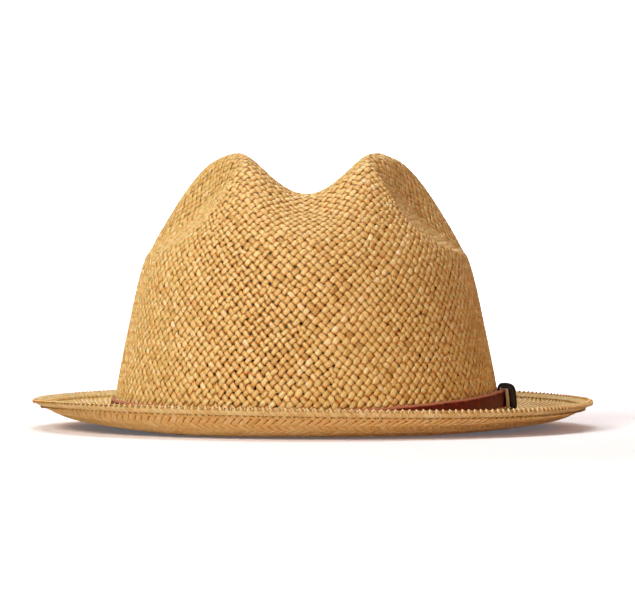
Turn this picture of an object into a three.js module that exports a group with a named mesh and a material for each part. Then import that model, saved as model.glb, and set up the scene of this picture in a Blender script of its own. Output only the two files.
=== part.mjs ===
// A woven straw trilby with a leather band, in millimetres.
// +Z is up, -Y is the front and +X is the wearer's left.
// The origin is on the ground under the middle of the brim.
import * as THREE from 'three';

// Driving sizes of the woven straw
const BRIM_HALF_WIDTH = 128;
const BRIM_HALF_LENGTH = 143;
const CROWN_HALF_WIDTH = 88.7;
const CROWN_HALF_LENGTH = 101.5;
const CROWN_SHIFT_X = -3;
const STRAW_WALL = 1.7;
const BREAK_FILLET = 1.5;
const COLUMNS_ROUND = 60;
const CLEARANCE = 0.3;
const NORMAL_STEP = { share: 0.005, turn: 1 };

// Crown outline without its dents, from the middle of the top down to the brim.
// spread is the share of the half width and half length at the foot of the crown.
const CROWN_OUTLINE = [
  { spread: 0.000, height: 121.0 },
  { spread: 0.160, height: 120.9 },
  { spread: 0.300, height: 119.6 },
  { spread: 0.410, height: 117.3 },
  { spread: 0.515, height: 112.7 },
  { spread: 0.616, height: 103.3 },
  { spread: 0.709, height: 91.2 },
  { spread: 0.806, height: 76.5 },
  { spread: 0.868, height: 61.8 },
  { spread: 0.930, height: 37.2 },
  { spread: 0.985, height: 14.0 },
  { spread: 1.000, height: BREAK_FILLET },
];
const CROWN_ROWS = { upper: 13, lower: 5, upperShare: 0.6 };
const CROWN_SEAT = { height: 8, reach: 45 };
const REAR_DROP = { depth: 10, from: -10, to: -95, top: 121 };
const FORWARD_LEAN = 12;

// Height of the brim's upper face where the crown meets it, and of its underside at the edge
const BREAK_HEIGHT = { front: 1.9, left: 5.2, rear: 3.4, right: 3.6 };
const EDGE_HEIGHT = { front: 12.9, left: 11.8, rear: 14.2, right: 11.8 };
const EDGE_SKEW_FRONT = -1.2;
const BELLY_HEIGHT = { left: 2.2, right: 3, flatTurn: 24, sideTurn: 72 };
const CURL_POWER = { front: 2, left: 2.3, rear: 2, right: 1.6 };
const BELLY_SHARE = { from: 0.22, to: 0.36 };
const BRIM_SHARES = [0, 0.11, 0.22, 0.36, 0.5, 0.64, 0.76, 0.88, 1];

// Teardrop dent in the top: frontwards is the distance in front of the crown's middle
const DENT = {
  halfWidthFront: 30, halfWidthRear: 42, widensFrom: 30, widensTo: -25,
  depthFront: 18.2, depthRear: 30, deepensFrom: 48, deepensTo: -15,
  rearEnd: -72, lipFrom: 52, lipTo: 84, floorFront: 2, floorRear: 3,
};

// Pinch at each side of the front: a hollow behind and above a curved crease
const PINCH = {
  depth: 10, frontTurn: 35.4, foot: 76, creaseReach: 14.3, rise: 18, creaseRound: 1,
  girth: 65, fadeFrom: 65, fadeTo: 100, topFrom: 0.42, topTo: 0.7,
};

// Leather strap: from its start at the wearer's left it runs round by the front, and laps over
// its start; the keeper holds both layers. Turns and travel are in degrees.
const BAND = {
  height: 8.5, thickness: 1.5, foot: 0.3, startTurn: 128, tipTurn: 81, stations: 68,
  lapFrom: 334, lapTo: 356, keeperFrom: 4, keeperTo: 16,
};
const BAND_LIFT = { front: -0.3, left: 1.9, rear: 0.8, right: -0.3 };
const KEEPER = { turn: 88, length: 9, thickness: 2.2, backThickness: 0.8, slack: 0.6, roundness: 2.2 };

// Sweatband and what is sewn to it; heights are above the brim.
const SWEATBAND = { foot: -1.2, top: 35, thickness: 1.1, lean: 0.9, rollRadius: 1.5, rows: 3 };
// The roll at its lower edge, in shares of the roll's radius: inwards from the straw, up from the foot
const ROLL_OUTLINE = [
  { inwards: 1.9, up: 1.5 },
  { inwards: 2.0, up: 0.9 },
  { inwards: 1.5, up: 0.15 },
  { inwards: 0.6, up: 0 },
  { inwards: 0.1, up: 0.35 },
];
const LABEL = {
  turn: 152, width: 42, foot: 8, height: 22, thickness: 0.7, standOff: 0.5, columns: 6, rows: 4,
};
const SIZE_TAB = { turn: 143, width: 13, height: 7, thickness: 0.6, columns: 3 };

// Lining patch and badge inside the crown
const LINING = { fromTurn: -132, toTurn: -2, footHeight: 35.4, topShare: 0.1, thickness: 1, standOff: 1.8 };
const BADGE = { turn: -75, share: 0.05, halfLength: 22.5, halfWidth: 18, thickness: 1.2, standOff: 2.65 };

function smooth(from, to, value) {
  return THREE.MathUtils.smoothstep((value - from) / (to - from), 0, 1);
}

function evenly(from, to, steps) {
  return Array.from({ length: steps + 1 }, (_, i) => THREE.MathUtils.lerp(from, to, i / steps));
}

// Blends four values round the hat; turn is in degrees from the front towards the wearer's left.
function around(turn, value) {
  const c = Math.cos(THREE.MathUtils.degToRad(turn));
  const s = Math.sin(THREE.MathUtils.degToRad(turn));
  return (c > 0 ? value.front : value.rear) * c * c + (s > 0 ? value.left : value.right) * s * s;
}

const outlineCurve = new THREE.CatmullRomCurve3(
  CROWN_OUTLINE.map((row) => new THREE.Vector3(row.spread * CROWN_HALF_WIDTH, 0, row.height)),
  false, 'catmullrom', 0.5);

// How far the pinch draws the crown in at a turn and height, in millimetres
function pinchDepth(turn, height, spread) {
  const away = Math.abs(turn);
  const behind = THREE.MathUtils.degToRad(away - PINCH.frontTurn) * PINCH.girth;
  const above = height - PINCH.foot;
  const past = Math.sqrt(Math.max(0, behind) * Math.max(0, above)) - PINCH.creaseReach;
  const eased = (past + Math.hypot(past, PINCH.creaseRound)) / 2;
  const share = Math.min(1, eased / PINCH.rise);
  const behindFade = 1 - smooth(PINCH.fadeFrom, PINCH.fadeTo, away);
  const topFade = smooth(PINCH.topFrom, PINCH.topTo, spread);
  return PINCH.depth * share * (2 - share) * behindFade * topFade;
}

// How deep the teardrop dent is at a place in plan
function dentDepth(sideways, frontwards) {
  const widens = smooth(DENT.widensFrom, DENT.widensTo, frontwards);
  const halfWidth = THREE.MathUtils.lerp(DENT.halfWidthFront, DENT.halfWidthRear, widens);
  const behind = Math.max(0, DENT.widensTo - frontwards) / (DENT.widensTo - DENT.rearEnd);
  const reach = Math.min(1, Math.hypot(sideways / halfWidth, behind));
  const deepens = smooth(DENT.deepensFrom, DENT.deepensTo, frontwards);
  const depth = THREE.MathUtils.lerp(DENT.depthFront, DENT.depthRear, deepens);
  const lip = 1 - smooth(DENT.lipFrom, DENT.lipTo, frontwards);
  const floor = THREE.MathUtils.lerp(DENT.floorFront, DENT.floorRear, deepens);
  return depth * lip * (1 - reach ** floor) ** 2;
}

// Point on the crown's outer face; share runs from 0 at the middle of the top to 1 at the brim.
function crownPoint(turn, share) {
  const row = outlineCurve.getPointAt(share);
  const spread = row.x / CROWN_HALF_WIDTH;
  const angle = THREE.MathUtils.degToRad(turn);
  const signedTurn = THREE.MathUtils.euclideanModulo(turn + 180, 360) - 180;
  const seat = Math.max(0, 1 - row.z / CROWN_SEAT.reach) ** 2;
  const foot = THREE.MathUtils.lerp(CROWN_SEAT.height, around(turn, BREAK_HEIGHT), seat);
  const domeX = CROWN_HALF_WIDTH * spread * Math.sin(angle);
  const domeY = -CROWN_HALF_LENGTH * spread * Math.cos(angle);
  const reach = Math.hypot(domeX, domeY);
  const drawnIn = reach > 0 ? 1 - pinchDepth(signedTurn, row.z + foot, spread) / reach : 1;
  const x = domeX * drawnIn;
  const y = domeY * drawnIn;
  const high = (row.z / REAR_DROP.top) ** 2;
  const drop = REAR_DROP.depth * smooth(REAR_DROP.from, REAR_DROP.to, -y) * high;
  const z = foot + row.z - drop - dentDepth(x, -y);
  return new THREE.Vector3(x + CROWN_SHIFT_X, y - FORWARD_LEAN * high, z);
}

// Point on the brim's upper face; share runs from 0 at the crown to 1 at the edge.
function brimPoint(turn, share) {
  const angle = THREE.MathUtils.degToRad(turn);
  const s = Math.sin(angle);
  const c = Math.cos(angle);
  const halfWidth = THREE.MathUtils.lerp(CROWN_HALF_WIDTH + BREAK_FILLET, BRIM_HALF_WIDTH, share);
  const halfLength = THREE.MathUtils.lerp(CROWN_HALF_LENGTH + BREAK_FILLET, BRIM_HALF_LENGTH, share);
  const fromAxis = THREE.MathUtils.radToDeg(Math.atan2(Math.abs(s), Math.abs(c)));
  const side = smooth(BELLY_HEIGHT.flatTurn, BELLY_HEIGHT.sideTurn, fromAxis);
  const belly = side * (s > 0 ? BELLY_HEIGHT.left : BELLY_HEIGHT.right);
  const inner = Math.max(0, 1 - share / BELLY_SHARE.from) ** 2;
  const outer = (Math.max(0, share - BELLY_SHARE.to) / (1 - BELLY_SHARE.to)) ** around(turn, CURL_POWER);
  const rise = inner * (around(turn, BREAK_HEIGHT) - STRAW_WALL - belly);
  const skew = EDGE_SKEW_FRONT * 2 * s * Math.max(0, c);
  const curl = outer * (around(turn, EDGE_HEIGHT) + skew - belly);
  const shift = THREE.MathUtils.lerp(CROWN_SHIFT_X, 0, share);
  return new THREE.Vector3(halfWidth * s + shift, -halfLength * c, STRAW_WALL + belly + rise + curl);
}

// Closed surface through rings of points; a ring of one point closes an end, and loops joins the
// last ring to the first.
function surfaceThrough(rings, loops = false) {
  const positions = rings.flat().flatMap((p) => [p.x, p.y, p.z]);
  const starts = [];
  let count = 0;
  for (const ring of rings) {
    starts.push(count);
    count += ring.length;
  }
  const indices = [];
  const steps = loops ? rings.length : rings.length - 1;
  for (let i = 0; i < steps; i++) {
    const j = (i + 1) % rings.length;
    const columns = Math.max(rings[i].length, rings[j].length);
    for (let k = 0; k < columns; k++) {
      const next = (k + 1) % columns;
      const a = starts[i] + (rings[i].length > 1 ? k : 0);
      const b = starts[i] + (rings[i].length > 1 ? next : 0);
      const c = starts[j] + (rings[j].length > 1 ? k : 0);
      const d = starts[j] + (rings[j].length > 1 ? next : 0);
      if (a !== b) indices.push(a, c, b);
      if (c !== d) indices.push(b, c, d);
    }
  }
  return geometryFrom(positions, indices);
}

// Closed slab between two grids of points with equal rows and columns
function slabBetween(front, back) {
  const rows = front.length;
  const columns = front[0].length;
  const count = rows * columns;
  const indices = [];
  for (let i = 0; i < rows - 1; i++) {
    for (let j = 0; j < columns - 1; j++) {
      const a = i * columns + j;
      const b = a + columns;
      indices.push(a, b, a + 1, a + 1, b, b + 1);
      indices.push(count + a, count + a + 1, count + b, count + a + 1, count + b + 1, count + b);
    }
  }
  const rim = [];
  for (let j = 0; j < columns - 1; j++) rim.push(j);
  for (let i = 0; i < rows - 1; i++) rim.push(i * columns + columns - 1);
  for (let j = columns - 1; j > 0; j--) rim.push((rows - 1) * columns + j);
  for (let i = rows - 1; i > 0; i--) rim.push(i * columns);
  rim.forEach((a, k) => {
    const b = rim[(k + 1) % rim.length];
    indices.push(a, b, count + a, b, count + b, count + a);
  });
  return geometryFrom([...front, ...back].flat().flatMap((p) => [p.x, p.y, p.z]), indices);
}

function geometryFrom(positions, indices) {
  const geometry = new THREE.BufferGeometry();
  geometry.setAttribute('position', new THREE.Float32BufferAttribute(positions, 3));
  geometry.setIndex(indices);
  return geometry;
}

// Signed volume tells whether the faces point out; a surface built inside out is turned.
function facedOut(geometry) {
  const position = geometry.getAttribute('position');
  const index = geometry.getIndex().array;
  const corners = [new THREE.Vector3(), new THREE.Vector3(), new THREE.Vector3()];
  let volume = 0;
  for (let i = 0; i < index.length; i += 3) {
    corners.forEach((corner, k) => corner.fromBufferAttribute(position, index[i + k]));
    volume += corners[0].dot(corners[1].cross(corners[2]));
  }
  if (volume < 0) {
    for (let i = 0; i < index.length; i += 3) [index[i], index[i + 1]] = [index[i + 1], index[i]];
  }
  return geometry;
}

const hat = new THREE.Group();

function addPiece(name, geometry, color, roughness) {
  const mesh = new THREE.Mesh(geometry, new THREE.MeshStandardMaterial({ color, roughness, metalness: 0 }));
  mesh.name = name;
  hat.add(mesh);
}

// Crown and brim woven in one
function crownShares() {
  const { upper, lower, upperShare } = CROWN_ROWS;
  const shares = [];
  for (let i = 1; i <= upper; i++) shares.push((upperShare * i) / upper);
  for (let i = 1; i <= lower; i++) shares.push(upperShare + ((1 - upperShare) * i) / lower);
  return shares;
}

function ringOf(pointAt) {
  return Array.from({ length: COLUMNS_ROUND }, (_, k) => pointAt((360 * k) / COLUMNS_ROUND));
}

function strawRings() {
  const outer = [
    ...crownShares().map((share) => ringOf((turn) => crownPoint(turn, share))),
    ...BRIM_SHARES.map((share) => ringOf((turn) => brimPoint(turn, share))),
  ];
  const tip = crownPoint(0, 0);
  const sheet = surfaceThrough([[tip], ...outer]);
  sheet.computeVertexNormals();
  const normals = sheet.getAttribute('normal');
  const inwards = (depth) => outer.map((ring, i) => ring.map((point, k) => {
    const normal = new THREE.Vector3().fromBufferAttribute(normals, 1 + i * COLUMNS_ROUND + k);
    return point.clone().addScaledVector(normal, -depth);
  }));
  const innerTip = tip.clone().setZ(tip.z - STRAW_WALL);
  return { outer, inwards, tip, innerTip };
}

const straw = strawRings();
const strawInside = [...straw.inwards(STRAW_WALL).reverse(), [straw.innerTip]];
const strawWall = surfaceThrough([[straw.tip], ...straw.outer, ...strawInside]);
addPiece('straw_body', facedOut(strawWall), '#cf9f62', 0.6);

// Share of the crown's outline at a height above the brim
function shareAtHeight(turn, height) {
  const level = around(turn, BREAK_HEIGHT) + height;
  let upper = CROWN_ROWS.upperShare;
  let lower = 1;
  for (let halving = 0; halving < 20; halving++) {
    const middle = (upper + lower) / 2;
    if (crownPoint(turn, middle).z > level) upper = middle;
    else lower = middle;
  }
  return (upper + lower) / 2;
}

// Point off the crown's outer face: out is along its normal, and below 0 it is inside the crown.
function offCrown(turn, share, out) {
  const low = Math.min(1, share + NORMAL_STEP.share);
  const round = crownPoint(turn + NORMAL_STEP.turn, share).sub(crownPoint(turn - NORMAL_STEP.turn, share));
  const up = crownPoint(turn, low - 2 * NORMAL_STEP.share).sub(crownPoint(turn, low));
  const normal = round.cross(up).normalize();
  return crownPoint(turn, share).addScaledVector(normal, out);
}

function offCrownAt(turn, height, out) {
  const point = offCrown(turn, shareAtHeight(turn, Math.max(height, BREAK_FILLET)), out);
  point.z += Math.min(0, height - BREAK_FILLET);
  return point;
}

// Leather strap
function bandFoot(turn) {
  return BREAK_FILLET + BAND.foot + around(turn, BAND_LIFT);
}

function bandOut(travel) {
  const lap = smooth(BAND.lapFrom, BAND.lapTo, travel) * (BAND.thickness + CLEARANCE);
  const keeperTravel = BAND.startTurn - KEEPER.turn;
  const away = Math.min(Math.abs(travel - keeperTravel), Math.abs(travel - keeperTravel - 360));
  const room = (KEEPER.backThickness + CLEARANCE) * (1 - smooth(BAND.keeperFrom, BAND.keeperTo, away));
  return CLEARANCE + lap + room;
}

function bandSection(travel) {
  const turn = BAND.startTurn - travel;
  const foot = bandFoot(turn);
  const inner = bandOut(travel);
  const outer = inner + BAND.thickness;
  return [
    offCrownAt(turn, foot, inner),
    offCrownAt(turn, foot, outer),
    offCrownAt(turn, foot + BAND.height, outer),
    offCrownAt(turn, foot + BAND.height, inner),
  ];
}

function middleOf(points) {
  return points.reduce((sum, p) => sum.add(p), new THREE.Vector3()).divideScalar(points.length);
}

function hatBand() {
  const length = 360 + BAND.startTurn - BAND.tipTurn;
  const sections = Array.from({ length: BAND.stations + 1 },
    (_, i) => bandSection((length * i) / BAND.stations));
  return surfaceThrough([[middleOf(sections[0])], ...sections, [middleOf(sections.at(-1))]]);
}

addPiece('hat_band', facedOut(hatBand()), '#4a2018', 0.5);

// Keeper: a leather loop round both layers of the strap
function keeperOutline(path, inner, low, outer, high, roundness) {
  path.moveTo(inner, low);
  path.lineTo(outer, low);
  path.lineTo(outer, high - roundness);
  path.quadraticCurveTo(outer, high, outer - roundness, high);
  path.lineTo(inner, high);
  path.closePath();
  return path;
}

function keeperLoop() {
  const foot = bandFoot(KEEPER.turn);
  const base = offCrownAt(KEEPER.turn, foot, CLEARANCE);
  const up = offCrownAt(KEEPER.turn, foot + BAND.height, CLEARANCE).sub(base).normalize();
  const ahead = offCrownAt(KEEPER.turn + NORMAL_STEP.turn, foot, 0);
  const along = ahead.sub(offCrownAt(KEEPER.turn - NORMAL_STEP.turn, foot, 0)).normalize();
  const out = new THREE.Vector3().crossVectors(along, up).normalize();
  const holeOuter = KEEPER.backThickness + 2 * (BAND.thickness + CLEARANCE) + KEEPER.slack;
  const holeHigh = BAND.height + KEEPER.slack;
  const low = -KEEPER.slack;
  const { thickness, roundness } = KEEPER;
  const loop = keeperOutline(
    new THREE.Shape(), 0, low - thickness / 2, holeOuter + thickness, holeHigh + thickness, 2 * roundness);
  loop.holes.push(keeperOutline(
    new THREE.Path(), KEEPER.backThickness, low, holeOuter, holeHigh, roundness / 2));
  const geometry = new THREE.ExtrudeGeometry(
    loop, { depth: KEEPER.length, bevelEnabled: false, curveSegments: 6 });
  geometry.translate(0, 0, -KEEPER.length / 2);
  const frame = new THREE.Matrix4().makeBasis(out, up, new THREE.Vector3().crossVectors(out, up));
  return geometry.applyMatrix4(frame.setPosition(base));
}

addPiece('keeper_loop', keeperLoop(), '#1b1210', 0.45);

// Sweatband: cloth standing inside the crown, rolled at its lower edge.
// Its face is how far out it lies at a height, measured on the side away from the straw.
function sweatbandFace(height) {
  const share = height / SWEATBAND.top;
  return -(STRAW_WALL + CLEARANCE + SWEATBAND.thickness + SWEATBAND.lean * share);
}

function sweatbandSection(turn) {
  const wall = -(STRAW_WALL + CLEARANCE);
  const { foot, top, thickness, rollRadius: r } = SWEATBAND;
  const neck = foot + 2 * r + thickness;
  const heights = evenly(neck, top, SWEATBAND.rows);
  const corners = [
    { out: wall, height: foot + r },
    ...heights.map((height) => ({ out: sweatbandFace(height) + thickness, height })),
    ...heights.reverse().map((height) => ({ out: sweatbandFace(height), height })),
    ...ROLL_OUTLINE.map(({ inwards, up }) => ({ out: wall - inwards * r, height: foot + up * r })),
  ];
  return corners.map(({ out, height }) => offCrownAt(turn, height, out));
}

addPiece('sweatband', facedOut(surfaceThrough(ringOf(sweatbandSection), true)), '#0b0b0b', 0.7);

// Slab that lies inside the crown: near and far give how far out its two faces are at a height.
function insideSlab(turns, heights, near, far) {
  const gridAt = (out) => heights
    .map((height) => turns.map((turn) => offCrownAt(turn, height, out(height))));
  return facedOut(slabBetween(gridAt(near), gridAt(far)));
}

// Turns on both sides of a middle turn that span a width along the inside of the crown
function turnsAcross(middle, width, columns) {
  const radius = CROWN_HALF_LENGTH - STRAW_WALL;
  const half = THREE.MathUtils.radToDeg(width / 2 / radius);
  return evenly(middle - half, middle + half, columns);
}

addPiece('sweatband_label', insideSlab(
  turnsAcross(LABEL.turn, LABEL.width, LABEL.columns),
  evenly(LABEL.foot, LABEL.foot + LABEL.height, LABEL.rows),
  (height) => sweatbandFace(height) - LABEL.standOff,
  (height) => sweatbandFace(height) - LABEL.standOff - LABEL.thickness), '#1d2a1f', 0.6);

addPiece('size_tab', insideSlab(
  turnsAcross(SIZE_TAB.turn, SIZE_TAB.width, SIZE_TAB.columns),
  evenly(SWEATBAND.top + CLEARANCE, SWEATBAND.top + SIZE_TAB.height, 1),
  () => -(STRAW_WALL + CLEARANCE),
  () => -(STRAW_WALL + CLEARANCE + SIZE_TAB.thickness)), '#7a3a20', 0.35);

// Lining patch over the front and the wearer's right, from above the sweatband to the top's rim.
// It keeps the straw's own rows and columns, so it lies parallel to the straw.
function liningGrid(depth) {
  const shares = crownShares();
  const rings = straw.inwards(depth);
  const columns = [];
  for (let k = 0; k < COLUMNS_ROUND; k++) {
    const turn = (360 * k) / COLUMNS_ROUND;
    if (turn >= 360 + LINING.fromTurn) columns.push({ k, turn: turn - 360 });
    if (turn <= LINING.toTurn) columns.push({ k, turn });
  }
  columns.sort((a, b) => a.turn - b.turn);
  const foot = columns.map(({ turn }) => shareAtHeight(turn, LINING.footHeight));
  const last = shares.findLastIndex((share) => share < Math.min(...foot));
  const rows = [];
  for (let i = 0; i <= last; i++) {
    if (shares[i] >= LINING.topShare) rows.push(columns.map(({ k }) => rings[i][k]));
  }
  rows.push(columns.map(({ k }, j) => {
    const part = (foot[j] - shares[last]) / (shares[last + 1] - shares[last]);
    return rings[last][k].clone().lerp(rings[last + 1][k], part);
  }));
  return rows;
}

const liningDepth = STRAW_WALL + LINING.standOff;
addPiece('crown_lining', facedOut(
  slabBetween(liningGrid(liningDepth), liningGrid(liningDepth + LINING.thickness))), '#b9a788', 0.8);

// Badge: a stiff oval patch under the floor of the teardrop dent, its long way front to back
function crownBadge() {
  const centre = offCrown(BADGE.turn, BADGE.share, -(STRAW_WALL + BADGE.standOff));
  const inward = offCrown(BADGE.turn, BADGE.share, -(STRAW_WALL + BADGE.standOff + 1)).sub(centre);
  const lengthways = new THREE.Vector3(0, 1, 0).addScaledVector(inward, -inward.y).normalize();
  const crossways = new THREE.Vector3().crossVectors(lengthways, inward);
  const oval = new THREE.Shape().absellipse(0, 0, BADGE.halfWidth, BADGE.halfLength, 0, 2 * Math.PI);
  const geometry = new THREE.ExtrudeGeometry(
    oval, { depth: BADGE.thickness, bevelEnabled: false, curveSegments: 20 });
  const frame = new THREE.Matrix4().makeBasis(crossways, lengthways, inward);
  return geometry.applyMatrix4(frame.setPosition(centre));
}

addPiece('crown_badge', crownBadge(), '#141210', 0.5);

export default hat;
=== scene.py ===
"""Looks of a woven straw trilby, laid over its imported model.

The hat's own frame is kept: +Z up, -Y the front, +X the wearer's left, in metres.
Sizes below are in millimetres, as a hat maker gives them, and are turned to metres as a mesh is made.
"""
import math

import bmesh
import bpy
import numpy as np
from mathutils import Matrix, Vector


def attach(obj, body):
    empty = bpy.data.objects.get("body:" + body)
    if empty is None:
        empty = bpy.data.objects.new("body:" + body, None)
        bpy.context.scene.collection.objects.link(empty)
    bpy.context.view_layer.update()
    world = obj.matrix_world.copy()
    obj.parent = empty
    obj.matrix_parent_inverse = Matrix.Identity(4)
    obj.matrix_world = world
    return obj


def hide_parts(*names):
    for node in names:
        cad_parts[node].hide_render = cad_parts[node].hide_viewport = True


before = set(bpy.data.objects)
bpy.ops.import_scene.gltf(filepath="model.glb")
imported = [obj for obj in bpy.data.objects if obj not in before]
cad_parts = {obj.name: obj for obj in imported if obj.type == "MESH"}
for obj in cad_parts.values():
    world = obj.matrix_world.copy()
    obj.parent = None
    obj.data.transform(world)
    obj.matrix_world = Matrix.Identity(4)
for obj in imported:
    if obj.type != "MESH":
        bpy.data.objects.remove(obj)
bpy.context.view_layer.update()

MM = 0.001
TINY = 1e-9

# Driving sizes of the straw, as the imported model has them
BRIM_HALF = (128, 143)
CROWN_HALF = (88.7, 101.5)
CROWN_SHIFT_X = -3
STRAW_WALL = 1.7
BREAK_FILLET = 1.5

# Crown outline without its dents: share of the half width and half length, and height above the seat
CROWN_OUTLINE = (
    (0.000, 121.0), (0.160, 120.9), (0.300, 119.6), (0.410, 117.3), (0.515, 112.7), (0.616, 103.3),
    (0.709, 91.2), (0.806, 76.5), (0.868, 61.8), (0.930, 37.2), (0.985, 14.0), (1.000, BREAK_FILLET),
)
OUTLINE_STEPS = 800
CURVE_STATIONS = 60
CROWN_SEAT = {"height": 8, "reach": 45}
REAR_DROP = {"depth": 10, "start": -10, "end": -95, "top": 121}
FORWARD_LEAN = 12

# Heights round the hat, in the order front, wearer's left, rear, wearer's right
BREAK_HEIGHT = (1.9, 5.2, 3.4, 3.6)
EDGE_HEIGHT = (12.9, 11.8, 14.2, 11.8)
EDGE_SKEW_FRONT = -1.2
BELLY_HEIGHT = {"left": 2.2, "right": 3, "flat_turn": 24, "side_turn": 72}
CURL_POWER = (2, 2.3, 2, 1.6)
BELLY_SHARE = {"start": 0.22, "end": 0.36}

# Teardrop dent in the top, and the pinch at each side of the front
DENT = {
    "half_width_front": 30, "half_width_rear": 42, "widens_from": 30, "widens_to": -25,
    "depth_front": 18.2, "depth_rear": 30, "deepens_from": 48, "deepens_to": -15,
    "rear_end": -72, "lip_from": 52, "lip_to": 84, "floor_front": 2, "floor_rear": 3,
}
PINCH = {
    "depth": 10, "front_turn": 35.4, "foot": 76, "crease_reach": 14.3, "rise": 18, "crease_round": 1,
    "girth": 65, "fade_from": 65, "fade_to": 100, "top_from": 0.42, "top_to": 0.7,
}


def smooth(start, end, value):
    """Rises smoothly from 0 at start to 1 at end."""
    t = np.clip((np.asarray(value, float) - start) / (end - start), 0, 1)
    return t * t * (3 - 2 * t)


def mix(a, b, share):
    return a + (b - a) * share


def around(turn, value):
    """Blends the four values round the hat; turn is in degrees from the front to the wearer's left."""
    front, left, rear, right = value
    c, s = np.cos(np.radians(turn)), np.sin(np.radians(turn))
    return np.where(c > 0, front, rear) * c * c + np.where(s > 0, left, right) * s * s


def through(values, stations, closed=False):
    """Points on a smooth curve through the values, with a number of stations to each step."""
    if closed:
        ended = np.vstack([values[-1:], values, values[:2]])
    else:
        ended = np.vstack([2 * values[0] - values[1], values, 2 * values[-1] - values[-2]])
    t = (np.arange(stations) / stations)[None, :, None]
    a, b, c, d = (ended[k:len(ended) - 3 + k, None] for k in range(4))
    line = (2 * b + (c - a) * t + (2 * a - 5 * b + 4 * c - d) * t**2 + (3 * b - a - 3 * c + d) * t**3) / 2
    line = line.reshape(-1, values.shape[-1])
    return line if closed else np.vstack([line, values[-1:]])


def run_along(line):
    """Length along a line of points, from 0 at its start."""
    return np.concatenate([[0], np.cumsum(np.linalg.norm(np.diff(line, axis=0), axis=1))])


def outline_table():
    """Spread and height at even steps along the crown's outline, on a curve through its rows."""
    line = through(np.array(CROWN_OUTLINE) * (CROWN_HALF[0], 1), CURVE_STATIONS)
    run = run_along(line)
    even = np.linspace(0, run[-1], OUTLINE_STEPS + 1)
    return np.interp(even, run, line[:, 0]) / CROWN_HALF[0], np.interp(even, run, line[:, 1])


OUTLINE_SPREAD, OUTLINE_HEIGHT = outline_table()


def on_outline(share):
    at = np.clip(share, 0, 1) * OUTLINE_STEPS
    steps = np.arange(OUTLINE_STEPS + 1)
    return np.interp(at, steps, OUTLINE_SPREAD), np.interp(at, steps, OUTLINE_HEIGHT)


def pinch_depth(turn, height, spread):
    """How far the pinch draws the crown in."""
    away = np.abs(turn)
    behind = np.radians(away - PINCH["front_turn"]) * PINCH["girth"]
    above = height - PINCH["foot"]
    past = np.sqrt(np.maximum(0, behind) * np.maximum(0, above)) - PINCH["crease_reach"]
    eased = (past + np.hypot(past, PINCH["crease_round"])) / 2
    share = np.minimum(1, eased / PINCH["rise"])
    behind_fade = 1 - smooth(PINCH["fade_from"], PINCH["fade_to"], away)
    top_fade = smooth(PINCH["top_from"], PINCH["top_to"], spread)
    return PINCH["depth"] * share * (2 - share) * behind_fade * top_fade


def dent_depth(sideways, frontwards):
    """How deep the teardrop dent is at a place in plan."""
    widens = smooth(DENT["widens_from"], DENT["widens_to"], frontwards)
    half_width = mix(DENT["half_width_front"], DENT["half_width_rear"], widens)
    behind = np.maximum(0, DENT["widens_to"] - frontwards) / (DENT["widens_to"] - DENT["rear_end"])
    reach = np.minimum(1, np.hypot(sideways / half_width, behind))
    deepens = smooth(DENT["deepens_from"], DENT["deepens_to"], frontwards)
    depth = mix(DENT["depth_front"], DENT["depth_rear"], deepens)
    lip = 1 - smooth(DENT["lip_from"], DENT["lip_to"], frontwards)
    floor = mix(DENT["floor_front"], DENT["floor_rear"], deepens)
    return depth * lip * (1 - reach**floor) ** 2


def crown_point(turn, share):
    """Point on the crown's outer face; share runs from 0 at the middle of the top to 1 at the brim."""
    turn, share = np.broadcast_arrays(np.asarray(turn, float), np.asarray(share, float))
    spread, height = on_outline(share)
    angle = np.radians(turn)
    seat = np.maximum(0, 1 - height / CROWN_SEAT["reach"]) ** 2
    foot = mix(CROWN_SEAT["height"], around(turn, BREAK_HEIGHT), seat)
    x = CROWN_HALF[0] * spread * np.sin(angle)
    y = -CROWN_HALF[1] * spread * np.cos(angle)
    reach = np.maximum(np.hypot(x, y), TINY)
    signed = (turn + 180) % 360 - 180
    drawn_in = 1 - pinch_depth(signed, height + foot, spread) / reach
    x, y = x * drawn_in, y * drawn_in
    high = (height / REAR_DROP["top"]) ** 2
    drop = REAR_DROP["depth"] * smooth(REAR_DROP["start"], REAR_DROP["end"], -y) * high
    z = foot + height - drop - dent_depth(x, -y)
    return np.stack([x + CROWN_SHIFT_X, y - FORWARD_LEAN * high, z], -1)


def brim_point(turn, share):
    """Point on the brim's upper face; share runs from 0 at the crown to 1 at the edge."""
    turn, share = np.broadcast_arrays(np.asarray(turn, float), np.asarray(share, float))
    s, c = np.sin(np.radians(turn)), np.cos(np.radians(turn))
    half_width = mix(CROWN_HALF[0] + BREAK_FILLET, BRIM_HALF[0], share)
    half_length = mix(CROWN_HALF[1] + BREAK_FILLET, BRIM_HALF[1], share)
    from_axis = np.degrees(np.arctan2(np.abs(s), np.abs(c)))
    side = smooth(BELLY_HEIGHT["flat_turn"], BELLY_HEIGHT["side_turn"], from_axis)
    belly = side * np.where(s > 0, BELLY_HEIGHT["left"], BELLY_HEIGHT["right"])
    inner = np.maximum(0, 1 - share / BELLY_SHARE["start"]) ** 2
    past = np.maximum(0, share - BELLY_SHARE["end"]) / (1 - BELLY_SHARE["end"])
    outer = past ** around(turn, CURL_POWER)
    rise = inner * (around(turn, BREAK_HEIGHT) - STRAW_WALL - belly)
    skew = EDGE_SKEW_FRONT * 2 * s * np.maximum(0, c)
    curl = outer * (around(turn, EDGE_HEIGHT) + skew - belly)
    x = half_width * s + mix(CROWN_SHIFT_X, 0, share)
    return np.stack([x, -half_length * c, STRAW_WALL + belly + rise + curl], -1)


def unit(vectors):
    return vectors / np.maximum(np.linalg.norm(vectors, axis=-1, keepdims=True), 1e-12)


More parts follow.
